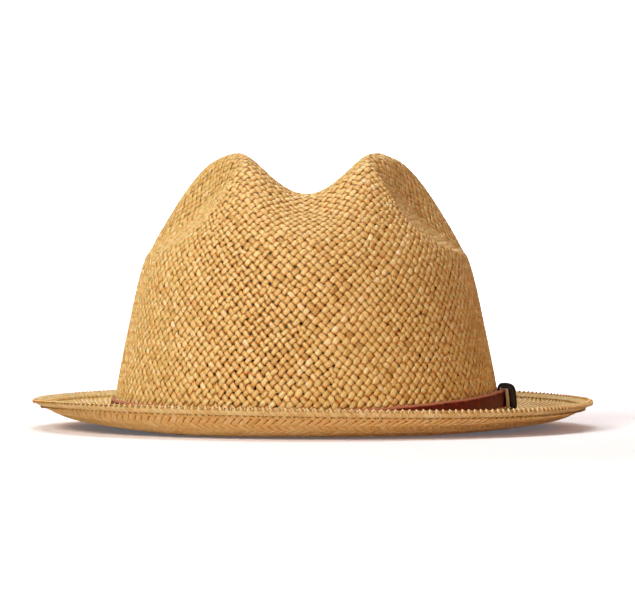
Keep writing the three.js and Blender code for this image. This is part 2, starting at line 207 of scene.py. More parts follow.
# Small steps that find a face's slope: shares of the plan or outline, and degrees round the hat
PLAN_STEP = 0.004
BRIM_STEPS = (0.4, 0.01)
EDGE_STEP = 0.02
OUTLINE_STEP = {"turn": 1, "share": 0.005}
HEIGHT_SEARCH = {"upper": 0.6, "lower": 1.0, "halvings": 22}


def off_face(point, a, b, step_a, step_b):
    """Point of a face and its outward normal at a and b, by small steps along each."""
    along_a = point(a + step_a, b) - point(a - step_a, b)
    along_b = point(a, b + step_b) - point(a, b - step_b)
    return point(a, b), unit(np.cross(along_b, along_a))


def plan_point(qx, qy):
    """Crown point from a flat plan whose radius is the share and whose -y is the front."""
    return crown_point(np.degrees(np.arctan2(qx, -qy)), np.hypot(qx, qy))


def off_plan(q):
    """Crown point and outward normal at places of the flat plan."""
    point, normal = off_face(plan_point, q[..., 0], q[..., 1], PLAN_STEP, PLAN_STEP)
    return point, -normal


def off_brim(turn, share):
    return off_face(brim_point, turn, share, *BRIM_STEPS)


def share_at_height(turn, height):
    """Share of the crown's outline at a height above the brim."""
    level = around(turn, BREAK_HEIGHT) + height
    upper = np.full(np.shape(level), HEIGHT_SEARCH["upper"])
    lower = np.full(np.shape(level), HEIGHT_SEARCH["lower"])
    for _ in range(HEIGHT_SEARCH["halvings"]):
        middle = (upper + lower) / 2
        above = crown_point(turn, middle)[..., 2] > level
        upper, lower = np.where(above, middle, upper), np.where(above, lower, middle)
    return (upper + lower) / 2


def off_outline(turn, share, out):
    """Point at a turn and a share of the crown's outline, out along the normal; below 0 is inside."""
    low = np.minimum(1, share + OUTLINE_STEP["share"])
    round_it = (crown_point(turn + OUTLINE_STEP["turn"], share)
                - crown_point(turn - OUTLINE_STEP["turn"], share))
    up = crown_point(turn, low - 2 * OUTLINE_STEP["share"]) - crown_point(turn, low)
    return crown_point(turn, share) + unit(np.cross(round_it, up)) * np.asarray(out)[..., None]


def off_crown(turn, height, out):
    """Point at a turn and a height above the brim, out along the normal; below 0 is inside."""
    turn, height, out = np.broadcast_arrays(*(np.asarray(v, float) for v in (turn, height, out)))
    share = share_at_height(turn, np.maximum(height, BREAK_FILLET))
    point = off_outline(turn, share, out)
    point[..., 2] += np.minimum(0, height - BREAK_FILLET)
    return point


# The crown's weave follows a net of cells: a square patch over the top, then rows down the side that
# gain cells as the crown widens. A straw crosses another at the middle of every side of a cell.
NET = {"patch": 25, "patch_share": 0.365, "foot_cells": 138, "rows": 25, "gain": 2, "stagger": 0.382,
       "relaxing": 70, "relaxing_dented": 70, "pull": 0.6, "limit": 0.996}


def net_cells():
    """Cells of the crown's net as lists of corners, the first guess of the corners' places, and the foot."""
    n = NET["patch"]
    line = np.linspace(-1, 1, n + 1)
    u, v = np.meshgrid(line, line)
    reach = np.maximum(np.abs(u), np.abs(v)) / np.maximum(np.hypot(u, v), TINY)
    plan = [np.stack([u * reach, v * reach], -1).reshape(-1, 2) * NET["patch_share"]]
    cells = []
    for j in range(n):
        for i in range(n):
            a = j * (n + 1) + i
            cells.append((a, a + 1, a + n + 2, a + n + 1))
    ring = list(range(n))
    ring += [j * (n + 1) + n for j in range(n)]
    ring += [n * (n + 1) + i for i in range(n, 0, -1)]
    ring += [j * (n + 1) for j in range(n, 0, -1)]
    count = (n + 1) ** 2
    missing = NET["foot_cells"] - len(ring)
    for row in range(1, NET["rows"] + 1):
        share = mix(NET["patch_share"], 1, row / NET["rows"])
        gained = min(NET["gain"], missing) if row > 1 else 0
        missing -= gained
        first = int(len(ring) * (row * NET["stagger"] % 1)) + 1
        split = {(first + k * len(ring) // NET["gain"]) % len(ring) for k in range(gained)}
        lower = []
        for k in range(len(ring)):
            lower.append(count + len(lower))
            if k in split:
                lower.append(count + len(lower))
        below = 0
        for k in range(len(ring)):
            if k in split:
                cells.append((ring[k], lower[below], lower[below + 1]))
                below += 1
            following = (below + 1) % len(lower)
            cells.append((ring[k], lower[below], lower[following], ring[(k + 1) % len(ring)]))
            below += 1
        angle = np.radians(-45 + 360 * np.arange(len(lower)) / len(lower))
        plan.append(np.stack([np.sin(angle), -np.cos(angle)], -1) * share)
        ring = lower
        count += len(lower)
    return cells, np.vstack(plan), ring


def dome_point(q):
    """Place on the crown before it is dented, from the flat plan."""
    share = np.hypot(q[:, 0], q[:, 1])
    spread, height = on_outline(share)
    level = np.maximum(share, TINY)
    return np.stack([CROWN_HALF[0] * spread * q[:, 0] / level, CROWN_HALF[1] * spread * q[:, 1] / level,
                     height], -1)


def plan_of(point):
    """Nearest place in the flat plan of a point near the undented crown."""
    across = point[:, :2] / CROWN_HALF
    spread = np.linalg.norm(across, axis=1)
    outline = np.stack([OUTLINE_SPREAD * CROWN_HALF[1], OUTLINE_HEIGHT], -1)
    here = np.stack([spread * CROWN_HALF[1], point[:, 2]], -1)
    nearest = ((here[:, None] - outline[None]) ** 2).sum(-1).argmin(1)
    nearest = np.clip(nearest, 1, OUTLINE_STEPS - 1)
    tangent = outline[nearest + 1] - outline[nearest - 1]
    past = ((here - outline[nearest]) * tangent).sum(1) / (tangent**2).sum(1) * 2
    share = np.clip((nearest + past) / OUTLINE_STEPS, 0, 1)
    return across / np.maximum(spread, TINY)[:, None] * share[:, None]


def relaxed(cells, plan, foot):
    """Evens out the cells: each corner moves to the middle of its neighbours, first on the dome before
    it is dented, then on the dented crown."""
    sides = {tuple(sorted((c[k], c[(k + 1) % len(c)]))) for c in cells for k in range(len(c))}
    pairs = np.array(sorted(sides))
    ends, others = np.concatenate([pairs, pairs[:, ::-1]]).T
    count = np.bincount(ends, minlength=len(plan))[:, None]

    def to_middle(point):
        total = np.zeros_like(point)
        np.add.at(total, ends, point[others])
        return total / count

    for _ in range(NET["relaxing"]):
        moved = plan_of(to_middle(dome_point(plan)))
        moved[foot] = plan[foot]
        plan = moved
    step = PLAN_STEP
    for _ in range(NET["relaxing_dented"]):
        x, y = plan[:, 0], plan[:, 1]
        here = plan_point(x, y)
        along = np.stack([plan_point(x + step, y) - plan_point(x - step, y),
                          plan_point(x, y + step) - plan_point(x, y - step)], 1) / (2 * step)
        pull = to_middle(here) - here
        metric = along @ along.transpose(0, 2, 1)
        moved = plan + NET["pull"] * np.linalg.solve(metric, (along @ pull[..., None]))[..., 0]
        reach = np.hypot(moved[:, 0], moved[:, 1])[:, None]
        moved *= np.minimum(1, NET["limit"] / np.maximum(reach, TINY))
        moved[foot] = plan[foot]
        plan = moved
    return plan


def woven_paths(cells):
    """Follows every straw through the net. Each path is a list of (side, over) and whether it closes."""
    corner_at = {}
    sides = {}
    for f, cell in enumerate(cells):
        for k, a in enumerate(cell):
            b = cell[(k + 1) % len(cell)]
            corner_at[(a, b)] = (f, k)
            sides.setdefault(tuple(sorted((a, b))), len(sides))
    index = {side: i for i, side in enumerate(sides)}

    def leaving(f, k):
        cell = cells[f]
        return cell[k], cell[(k + 1) % len(cell)]

    def arriving(f, k):
        cell = cells[f]
        return cell[k - 1], cell[k]

    used = set()

    def follow(f, k, outward):
        """Walks from corner k of cell f; outward says that it heads for the side that leaves it."""
        path = []
        while (f, k) not in used:
            used.add((f, k))
            a, b = leaving(f, k) if outward else arriving(f, k)
            path.append((index[tuple(sorted((a, b)))], not outward))
            if (b, a) not in corner_at:
                return path, False
            f, k = corner_at[(b, a)]
            if not outward:
                k = (k + 1) % len(cells[f])
            outward = not outward
        return path, True

    paths = []
    for (a, b), (f, k) in corner_at.items():
        if (b, a) in corner_at:
            continue
        side = index[tuple(sorted((a, b)))]
        for corner, outward in ((k, False), ((k + 1) % len(cells[f]), True)):
            if (f, corner) not in used:
                path, _ = follow(f, corner, outward)
                paths.append(([(side, outward), *path], False))
    for f, cell in enumerate(cells):
        for k in range(len(cell)):
            if (f, k) not in used:
                paths.append(follow(f, k, True))
    return list(sides), paths


# A straw is a flat oval with six sides, in shares of its half width and half thickness
OVAL = np.array([(1, 0), (0.5, 0.87), (-0.5, 0.87), (-1, 0), (-0.5, -0.87), (0.5, -0.87)])
FLAT = OVAL * (1.6, 1)
FLAT[[0, 3]] = OVAL[[0, 3]]
FACE_LIFT = 0.1
STRAW = {"thickness": 0.78, "wave": 0.39, "flat_top": 0.65, "fill": 0.965, "waist": 0.78, "stations": 3,
         "limit": 0.999, "jitter": 0.002, "unevenness": 0.075, "pieces": 3, "open_front": 0.12,
         "open_middle": (-0.25, -0.75), "open_reach": 0.08}
TONE = {"middle": 0.5, "spread": 0.15}
rng = np.random.default_rng(58)


def in_scene(name, data):
    """An object in the scene that holds a mesh, a light or a camera."""
    held = bpy.data.objects.new(name, data)
    bpy.context.scene.collection.objects.link(held)
    return held


class Straws:
    """Many straws in one mesh. A point keeps how far along its straw it is, its place across, the
    straw's tone, how far it stands out towards its own side of the cloth, from -1 to 1, and whether
    it is on the straw's underside."""

    def __init__(self):
        self.points, self.faces, self.count = [], [], 0
        self.kept = {"run_mm": [], "across": [], "tone": [], "rise": [], "inner": []}

    def lay(self, centre, normal, width, thickness, rise, tone, closed=False, section=OVAL):
        """One straw through centre points in millimetres; closed joins its end to its start."""
        if closed:
            tangent = unit(np.roll(centre, -1, 0) - np.roll(centre, 1, 0))
        else:
            tangent = unit(np.gradient(centre, axis=0))
        side = unit(np.cross(normal, tangent))
        up = np.cross(tangent, side)
        across, lift = section.T
        ring = (centre[:, None] + side[:, None] * (across * np.reshape(width, (-1, 1)) / 2)[..., None]
                + up[:, None] * (lift * thickness / 2)[None, :, None])
        stations, sides = len(centre), len(section)
        grid = self.count + np.arange(stations * sides).reshape(stations, sides)
        beside = np.roll(grid, -1, 1)
        ahead, ahead_beside = np.roll(grid, -1, 0), np.roll(beside, -1, 0)
        quads = np.stack([grid, beside, ahead_beside, ahead], -1)
        if not closed:
            quads = quads[:-1]
            self.faces += [grid[0, ::-1].tolist(), grid[-1].tolist()]
        self.faces += quads.reshape(-1, 4).tolist()
        self.points.append(ring.reshape(-1, 3))
        self.count += stations * sides
        on_top, under = lift > FACE_LIFT, lift < -FACE_LIFT
        rise = np.broadcast_to(rise, stations)[:, None]
        values = {"run_mm": run_along(centre)[:, None], "across": across, "tone": tone,
                  "rise": np.where(on_top, rise, np.where(under, -rise, np.abs(rise))),
                  "inner": np.where(under, 1.0, np.where(on_top, 0, 0.5))}
        for key, value in values.items():
            self.kept[key].append(np.broadcast_to(value, (stations, sides)).ravel())

    def made(self, name):
        mesh = bpy.data.meshes.new(name)
        mesh.from_pydata((np.vstack(self.points) * MM).tolist(), [], self.faces)
        for key, values in self.kept.items():
            layer = mesh.attributes.new(key, "FLOAT", "POINT")
            layer.data.foreach_set("value", np.concatenate(values).astype(np.float32))
        mesh.shade_smooth()
        return in_scene(name, mesh)


def straw_tone():
    return float(np.clip(rng.normal(TONE["middle"], TONE["spread"]), 0, 1))


def flattened(wave, power):
    """A wave from -1 to 1 with flatter tops."""
    return np.sign(wave) * np.abs(wave) ** power


def crown_straws():
    """The crown's plain weave: every straw goes over one and under the next, on the bias."""
    cells, plan, foot = net_cells()
    plan = relaxed(cells, plan, foot)
    sides, paths = woven_paths(cells)
    ends = np.array(sides)
    crossing = (plan[ends[:, 0]] + plan[ends[:, 1]]) / 2
    crossing += rng.normal(0, STRAW["jitter"], crossing.shape)
    reach = np.hypot(crossing[:, 0], crossing[:, 1])[:, None]
    crossing *= np.minimum(1, STRAW["limit"] / np.maximum(reach, TINY))
    place = plan_point(crossing[:, 0], crossing[:, 1])
    total, count = np.zeros(len(sides)), np.zeros(len(sides))
    for path, _ in paths:
        at = np.array(path)[:, 0]
        gap = np.linalg.norm(np.diff(place[at], axis=0), axis=1)
        for end in (at[:-1], at[1:]):
            np.add.at(total, end, gap)
            np.add.at(count, end, 1)
    pitch = total / np.maximum(count, 1)
    stations = STRAW["stations"]
    wave = flattened(np.cos(math.pi * np.arange(stations) / stations), STRAW["flat_top"])
    batches = [Straws() for _ in range(STRAW["pieces"])]
    for number, (path, closed) in enumerate(paths):
        at, above = np.array(path).T
        line = through(np.column_stack([crossing[at], pitch[at]]), stations, closed)
        q, spacing = line[:, :2], line[:, 2]
        rise = (np.where(above, 1.0, -1.0)[:, None] * wave[None]).ravel()
        if not closed:
            rise = rise[:(len(path) - 1) * stations + 1]
        face, normal = off_plan(q)
        centre = face + normal * (STRAW["wave"] * rise - STRAW_WALL / 2)[:, None]
        opened = np.exp(-((q - STRAW["open_middle"]) ** 2).sum(1) / STRAW["open_reach"])
        narrow = mix(STRAW["waist"], 1, rise**2) * (1 - STRAW["open_front"] * opened)
        width = spacing * STRAW["fill"] * float(rng.normal(1, STRAW["unevenness"])) * narrow
        batch = batches[number % STRAW["pieces"]]
        batch.lay(centre, normal, width, STRAW["thickness"], rise, straw_tone(), closed)
    return [batch.made(f"crown_straws_{k + 1}") for k, batch in enumerate(batches)]


BRIM = {"straws": 204, "plan_radius": 96.6, "plan_width": 38.9, "tuck": 4, "ends_share": 0.95,
        "over": 2, "stations": 2, "thickness": 0.38, "wave": 0.16, "flat_top": 0.6, "sway": 0.012,
        "unevenness": 0.05, "waist": 0.92}
# How full the brim's straws lie, each at its distance from the edge in millimetres
BRIM_FILL = ((3.5, 1.03), (4.6, 0.84), (6.6, 0.84), (7.6, 0.95), (10.5, 0.95), (11.8, 1.03))
HEM = {"middle_share": 0.944, "half_width": 2.1, "half_height": 0.5, "beads": 250, "stations": 12,
       "pitch": 3.42, "ribbon": (3.7, 0.38), "narrows": 0.35, "slant": 1.5, "wander": 0.1,
       "unevenness": 0.03, "tone_spread": 0.16}


def off_foot(turn, share):
    """Brim point and normal; shares below 0 go round the fillet and up the foot of the crown."""
    up_to = np.maximum(share, 0)
    point, normal = off_brim(turn, up_to)
    inward = unit((brim_point(turn, up_to) - brim_point(turn, up_to + EDGE_STEP)) * (1, 1, 0))
    past = -np.minimum(share, 0) * BRIM["plan_width"]
    angle = np.minimum(past / BREAK_FILLET, math.pi / 2)
    climbed = np.maximum(0, past - BREAK_FILLET * math.pi / 2)
    point = point + inward * (BREAK_FILLET * np.sin(angle))[..., None]
    point[..., 2] += BREAK_FILLET * (1 - np.cos(angle)) + climbed
    upright = unit(normal * np.cos(angle)[..., None] - inward * np.sin(angle)[..., None])
    return point, upright


def brim_straws():
    """The brim's twill: two families on opposite spirals, two over and two under, in rows round it."""
    count, radius, width = BRIM["straws"], BRIM["plan_radius"], BRIM["plan_width"]
    stations = BRIM["stations"]
    step = math.pi / count
    first = math.floor(math.log(1 - BRIM["tuck"] / radius) / step)
    last = math.log(1 + BRIM["ends_share"] * width / radius) / step
    k = np.arange(first * stations, math.floor(last * stations) + 1) / stations
    k = np.append(k + 0.5 / stations, last)
    spin = k * step
    share = radius * (np.exp(spin) - 1) / width
    pitch = math.sqrt(2) * step * radius * np.exp(spin)
    fill = np.interp((1 - share) * width, *zip(*BRIM_FILL))
    wave = flattened(np.cos(math.pi * (k - 0.5) / BRIM["over"]), BRIM["flat_top"])
    pieces = []
    for side, family in (("left", 1), ("right", -1)):
        batch = Straws()
        for number in range(count):
            sway = np.cumsum(rng.normal(0, BRIM["sway"], len(k)))
            turn = 360 * number / count + family * np.degrees(spin) + sway - sway.mean()
            face, normal = off_foot(turn, share)
            rise = family * wave
            centre = face + normal * (BRIM["wave"] * rise - STRAW_WALL / 2)[:, None]
            breadth = pitch * fill * float(rng.normal(1, BRIM["unevenness"]))
            breadth = breadth * mix(BRIM["waist"], 1, np.abs(rise))
            batch.lay(centre, normal, breadth, BRIM["thickness"], rise, straw_tone(), section=FLAT)
        pieces.append(batch.made(f"brim_straws_{side}"))
    return pieces


def hem_wrap():
    """The edge of the brim: one straw wound round and round it, so its turns stand as slanted beads."""
    beads, stations = HEM["beads"], HEM["stations"]
    total = beads * stations
    spin = 2 * math.pi * np.arange(total) / stations
    bead_turn = 360 / beads
    turn = bead_turn * np.arange(total) / stations - HEM["slant"] * np.cos(spin) * bead_turn / HEM["pitch"]
    wander = through(rng.normal(0, HEM["wander"], (beads, 1)), stations, True)[:, 0]
    turn = turn + wander * bead_turn / HEM["pitch"]
    middle = np.full(total, HEM["middle_share"])
    face, normal = off_brim(turn, middle)
    outward = unit(brim_point(turn, middle + EDGE_STEP) - brim_point(turn, middle - EDGE_STEP))
    across, lift = np.cos(spin)[:, None], np.sin(spin)[:, None]
    centre = (face - normal * STRAW_WALL / 2 + outward * across * HEM["half_width"]
              + normal * lift * HEM["half_height"])
    facing = unit(outward * across / HEM["half_width"] + normal * lift / HEM["half_height"])
    ribbon, thickness = HEM["ribbon"]
    breadth = ribbon - HEM["narrows"] * np.abs(lift[:, 0])
    breadth *= 1 + np.repeat(rng.normal(0, HEM["unevenness"], beads), stations)
    wrap = Straws()
    wrap.lay(centre, facing, breadth, thickness, 1, TONE["middle"], True, FLAT)
    tones = np.clip(rng.normal(TONE["middle"], HEM["tone_spread"], beads), 0, 1)
    wrap.kept["tone"] = [np.repeat(tones, stations * len(FLAT))]
    return wrap.made("brim_edge_wrap")


def linear(hex_colour):
    """Linear colour of an sRGB hex colour."""
    parts = [int(hex_colour[i:i + 2], 16) / 255 for i in (1, 3, 5)]
    return [c / 12.92 if c <= 0.04045 else ((c + 0.055) / 1.055) ** 2.4 for c in parts] + [1]


def fitted(tree, made, settings):
    """Fits a node out. A key is one of its settings, the name or number of an input, or the stops of
    its ramp. An input takes a value, an sRGB hex colour, or the node or socket that feeds it."""
    for key, value in settings.items():
        if key == "stops":
            elements = made.color_ramp.elements
            while len(elements) < len(value):
                elements.new(0.5)
            for element, (position, colour) in zip(elements, value):
                element.position = position
                element.color = linear(colour)
        elif isinstance(key, str) and hasattr(made, key):
            setattr(made, key, value)
        elif isinstance(value, bpy.types.Node):
            used = next(socket for socket in value.outputs if socket.enabled)
            tree.links.new(used, made.inputs[key])
        elif isinstance(value, bpy.types.NodeSocket):
            tree.links.new(value, made.inputs[key])
        else:
            made.inputs[key].default_value = linear(value) if isinstance(value, str) else value
    return made


def node(tree, kind, settings):
    """Adds a node with its settings and links."""
    return fitted(tree, tree.nodes.new("ShaderNode" + kind), settings)


def material(name):
    """A material with its tree and its shader."""
    made = bpy.data.materials.new(name)
    made.use_nodes = True
    return made, made.node_tree, made.node_tree.nodes["Principled BSDF"]


def straw_material(name, tones, dip_shade_stops, roundness, underside):
    """Peeled straw: pale with a soft sheen and fibres along it, with redder, darker painted shade where
    it passes under another straw. Roundness, in millimetres, is how far its bump falls from its middle
    to its edges. Underside is the colour of the painted shade on its inner side, towards the head in
    the crown and towards the floor under the brim."""
    made, tree, shader = material(name)
    tone, run, across, rise, inner = (
        node(tree, "Attribute", {"attribute_name": key}).outputs["Fac"]
        for key in ("tone", "run_mm", "across", "rise", "inner"))
    place = node(tree, "CombineXYZ", {0: run, 1: across, 2: tone})
    # Fibres some 3.5 mm long and an eighth of the straw wide, then blotches some 9 mm long; the tone
    # sets the patterns of two straws apart
    along = node(tree, "Mapping", {0: place, "Scale": (0.16, 2.4, 41)})
    fibres = node(tree, "TexNoise", {0: along, "Scale": 1.8, "Detail": 3, "Roughness": 0.6})
    blotch = node(tree, "Mapping", {0: place, "Scale": (0.11, 0.2, 67)})
    patches = node(tree, "TexNoise", {0: blotch, "Scale": 1, "Detail": 2})
    mixed = node(tree, "Math", {"operation": "MULTIPLY_ADD", 0: tone, 1: 0.55, 2: patches})
    level = node(tree, "MapRange", {0: mixed, "From Min": 0.42, "From Max": 1.1})
    streak = node(tree, "ValToRGB", {
        0: fibres, "stops": ((0.3, "#cfae80"), (0.5, "#f5ecd8"), (0.7, "#ffffff"))})
    # Painted shade: redder and darker where the straw passes under another
    lifted = node(tree, "Math", {"operation": "MULTIPLY_ADD", 0: rise, 1: 0.5, 2: 0.5})
    dip_shade = node(tree, "ValToRGB", {0: lifted, "stops": dip_shade_stops})
    # Painted shade on the straw's inner side, which faces the head in the crown and the floor under the brim
    underside_shade = node(tree, "ValToRGB", {0: inner, "stops": ((0.5, "#ffffff"), (0.9, underside))})
    colour = node(tree, "ValToRGB", {0: level, "stops": tones})
    for layer, amount in ((streak, 0.8), (dip_shade, 1), (underside_shade, 1)):
        colour = node(tree, "Mix", {
            "data_type": "RGBA", "blend_type": "MULTIPLY", 0: amount, "A": colour, "B": layer})
    across_square = node(tree, "Math", {"operation": "MULTIPLY", 0: across, 1: across})
    round_off = node(tree, "Math", {"operation": "MULTIPLY", 0: across_square, 1: roundness})
    grain = node(tree, "Math", {"operation": "MULTIPLY", 0: fibres, 1: 0.035})
    swell = node(tree, "Math", {"operation": "SUBTRACT", 0: grain, 1: round_off})
    fitted(tree, shader, {
        "Base Color": colour, "Roughness": 0.42, "IOR": 1.45, "Subsurface Weight": 0.3,
        "Subsurface Radius": (1.0, 0.42, 0.16), "Subsurface Scale": 0.0012,
        "Normal": node(tree, "Bump", {"Strength": 1, "Distance": MM, "Height": swell})})
    return made


def dress(piece, cover, slot, *hidden):
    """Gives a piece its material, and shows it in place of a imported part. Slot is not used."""
    piece.data.materials.append(cover)
    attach(piece, "root")
    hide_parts(*hidden)
    return piece


# Straw, steam-shaped: pale gold on the floats, with brown-red painted shade where it passes under another
# straw, and painted shade on its inner side
straw = straw_material(
    "Straw", ((0, "#bd9f60"), (0.3, "#dac081"), (0.7, "#e8d69e"), (1, "#f4e8c4")),
    ((0, "#9c4422"), (0.3, "#c67a46"), (0.55, "#f0cfa2"), (0.85, "#ffffff")), 0.2, "#b98a68")
# Straw of the brim and its edge: the same, a little paler and flatter, with lighter painted shade
brim_straw = straw_material(
    "BrimStraw", ((0, "#e0c48a"), (0.3, "#eed69c"), (0.7, "#f4e2b2"), (1, "#f9eeca")),
    ((0, "#dcae78"), (0.3, "#eccfa2"), (0.5, "#f8eedb"), (0.8, "#ffffff")), 0.05, "#fffaf0")

for piece in crown_straws():
    dress(piece, straw, "straw", "straw_body")
for piece in (*brim_straws(), hem_wrap()):
    dress(piece, brim_straw, "straw", "straw_body")


# Strap, keeper, sweatband, label, tab, lining and badge. Turns and travel are in degrees.
CLEARANCE = 0.3
BAND = {"height": 8.5, "thickness": 1.5, "foot": 0.3, "start_turn": 128, "length": 407, "girth": 600,
        "bevel": 0.45, "stations": 300, "rows": 3, "lap": (334, 356), "keeper_room": (4, 16),
        "flare": 0.9, "flare_reach": 4.5, "bow": 0.1, "sag": 0.1, "sway": ((0.12, 9), (0.08, 23))}
BAND_LIFT = (-0.3, 1.9, 0.8, -0.3)
KEEPER = {"turn": 88, "width": 9, "thickness": 2.2, "back": 0.8, "slack": 0.6, "room": 0.8, "fuller": 1.0,
          "crown": 0.25, "bevel": 0.38, "stations": 56, "rounding": (0.5, 1.6, 3.4, 1.2),
          "corner_steps": 9, "step": 0.25, "back_reach": 1.2, "under_reach": 1.4, "outer_reach": 2,
          "joined": 0.002}
SWEATBAND = {"foot": -1.2, "top": 35, "thickness": 1.1, "lean": 0.9, "roll": 1.5, "radius": 300,
             "steps": 240, "lip": 0.4, "lip_share": 0.85, "girth_radius": 93, "slack_from": (0.9, 1.2),
             "slack": ((0.22, 7, 40), (0.16, 17, 0)), "slack_low": (2, 12), "slack_high": (35, 26)}
# Section of the sweatband's rolled foot, in shares of the roll: in from the wall, and up from the foot
ROLL_SECTION = ((1.85, 1.9), (1.98, 1.45), (2.0, 0.95), (1.8, 0.5), (1.5, 0.18), (1.05, 0.02), (0.6, 0.0),
                (0.2, 0.2), (0.02, 0.6))
LABEL = {"turn": 152, "width": 42, "foot": 8, "height": 22, "thickness": 0.7, "stand_off": 0.5,
         "bevel": 0.22, "columns": 40, "rows": 20, "fullness": 0.35, "full_power": 0.6,
         "pucker": 0.06, "puckers": 13, "pucker_from": 0.42}
TAB = {"turn": 143, "width": 13, "height": 7, "thickness": 0.6, "bevel": 0.12, "columns": 14, "rows": 6}
LINING = {"from": -132, "to": -2, "foot": 35.4, "top_share": 0.1, "thickness": 0.9, "stand_off": 1.8,
          "cut": (190, 146), "grid": (132, 116), "normal_steps": (5, 0.04), "easing": 14,
          "held_foot": (-0.5, -0.42), "held_top": (0.46, 0.2), "held_side": (0.5, 0.44),
          "fullness": 0.9, "fold": 0.6, "far": 0.09,
          "folds": ((0.55, 2.1, 14, 0), (0.4, 5.3, -9, 1), (0.3, 1.7, 31, 0))}
BADGE = {"turn": -75, "share": 0.05, "half_length": 22.5, "half_width": 18, "thickness": 1.2,
         "stand_off": 2.65, "sides": 96, "bevel": 0.5, "cord": 1.9, "cord_breadth": 2.3,
         "cord_inset": 1.15, "cord_lift": 0.62, "cord_steps": 160, "cord_turns": 80,
         "cord_swell": 0.05, "cord_start": 0.4}
STITCH = {"count": 150, "share": 0.55, "height": 3.9, "breadth": 0.45, "thickness": 0.3,
          "lift": (0.0, 0.22, 0.22, 0.0)}


def finished(bm, name):
    """Makes the mesh a piece, with its faces turned outwards."""
    if bm.calc_volume(signed=True) < 0:
        bmesh.ops.reverse_faces(bm, faces=bm.faces)
    mesh = bpy.data.meshes.new(name)
    bm.to_mesh(mesh)
    bm.free()
    mesh.shade_smooth()
    return in_scene(name, mesh)


def placed(bm, name, place):
    """Turns a flat mesh of x, y, z in millimetres into a piece: its flat x and y become its UV map in
    millimetres, and place gives where its points go."""
    flat = np.array([v.co for v in bm.verts])
    uv = bm.loops.layers.uv.new("UVMap")
    for face in bm.faces:
        for loop in face.loops:
            loop[uv].uv = loop.vert.co.xy
    for vert, point in zip(bm.verts, place(flat) * MM):
        vert.co = point
    return finished(bm, name)


def bevelled(bm, edges, offset, segments):
    bmesh.ops.bevel(bm, geom=edges, offset=offset, segments=segments, profile=0.5, affect="EDGES",
                    material=-1)


def long_edges(bm, axis, length):
    """Edges that reach further along an axis than half a length."""
    return [e for e in bm.edges if abs(e.verts[0].co[axis] - e.verts[1].co[axis]) > length / 2]


def strip(length, breadth, thickness, bevel, cuts, rows, closed=False):
    """A flat strip with rounded edges, cut across often enough to bend. x runs along it, y across."""
    bm = bmesh.new()
    bmesh.ops.create_cube(bm, size=1)
    bmesh.ops.scale(bm, vec=(length, breadth, thickness), verts=bm.verts)
    bmesh.ops.translate(bm, vec=(length / 2, breadth / 2, thickness / 2), verts=bm.verts)
    if closed:
        ends = [f for f in bm.faces if abs(f.normal.x) > 0.5]
        bmesh.ops.delete(bm, geom=ends, context="FACES_ONLY")
        edges = long_edges(bm, 0, length)
    else:
        edges = list(bm.edges)
    bevelled(bm, edges, bevel, 3)
    bmesh.ops.subdivide_edges(bm, edges=long_edges(bm, 0, length), cuts=cuts, use_grid_fill=True)
    bmesh.ops.subdivide_edges(bm, edges=long_edges(bm, 1, breadth), cuts=rows, use_grid_fill=True)
    return bm


def band_foot(turn):
    return BREAK_FILLET + BAND["foot"] + around(turn, BAND_LIFT)


def band_out(travel):
    """How far off the straw the strap's back lies."""
    lap = smooth(*BAND["lap"], travel) * (BAND["thickness"] + CLEARANCE)
    keeper_travel = BAND["start_turn"] - KEEPER["turn"]
    away = np.minimum(np.abs(travel - keeper_travel), np.abs(travel - keeper_travel - 360))
    room = (KEEPER["back"] + CLEARANCE) * (1 - smooth(*BAND["keeper_room"], away))
    flare = BAND["flare"] * smooth(BAND["length"] - BAND["flare_reach"], BAND["length"], travel)
    return CLEARANCE + lap + room + flare


def leather_strap():
    bm = strip(BAND["girth"], BAND["height"], BAND["thickness"], BAND["bevel"], BAND["stations"],
               BAND["rows"])

    def place(flat):
        along, up, out = flat.T
        travel = along / BAND["girth"] * BAND["length"]
        turn = BAND["start_turn"] - travel
        sway = sum(size * np.sin(np.radians(travel * waves)) for size, waves in BAND["sway"])
        bow = BAND["bow"] * np.sin(math.pi * up / BAND["height"])
        edge = np.clip(np.abs(up / BAND["height"] - 0.5) * 2, 0, 1)
        top_sway = np.where(up > BAND["height"] / 2, sway * edge, 0)
        height = band_foot(turn) + up + top_sway - BAND["sag"] * edge
        return off_crown(turn, height, band_out(travel) + out + bow)
    return placed(bm, "leather_strap", place)


def keeper_frame():
    """Base point of the keeper and its three directions: out, up and along the strap."""
    turn = np.array(float(KEEPER["turn"]))
    foot = band_foot(turn)
    base = off_crown(turn, foot, CLEARANCE)
    up = unit(off_crown(turn, foot + BAND["height"], CLEARANCE) - base)
    along = unit(off_crown(turn + 1, foot, 0) - off_crown(turn - 1, foot, 0))
    out = unit(np.cross(along, up))
    return base, out, up, np.cross(out, up)


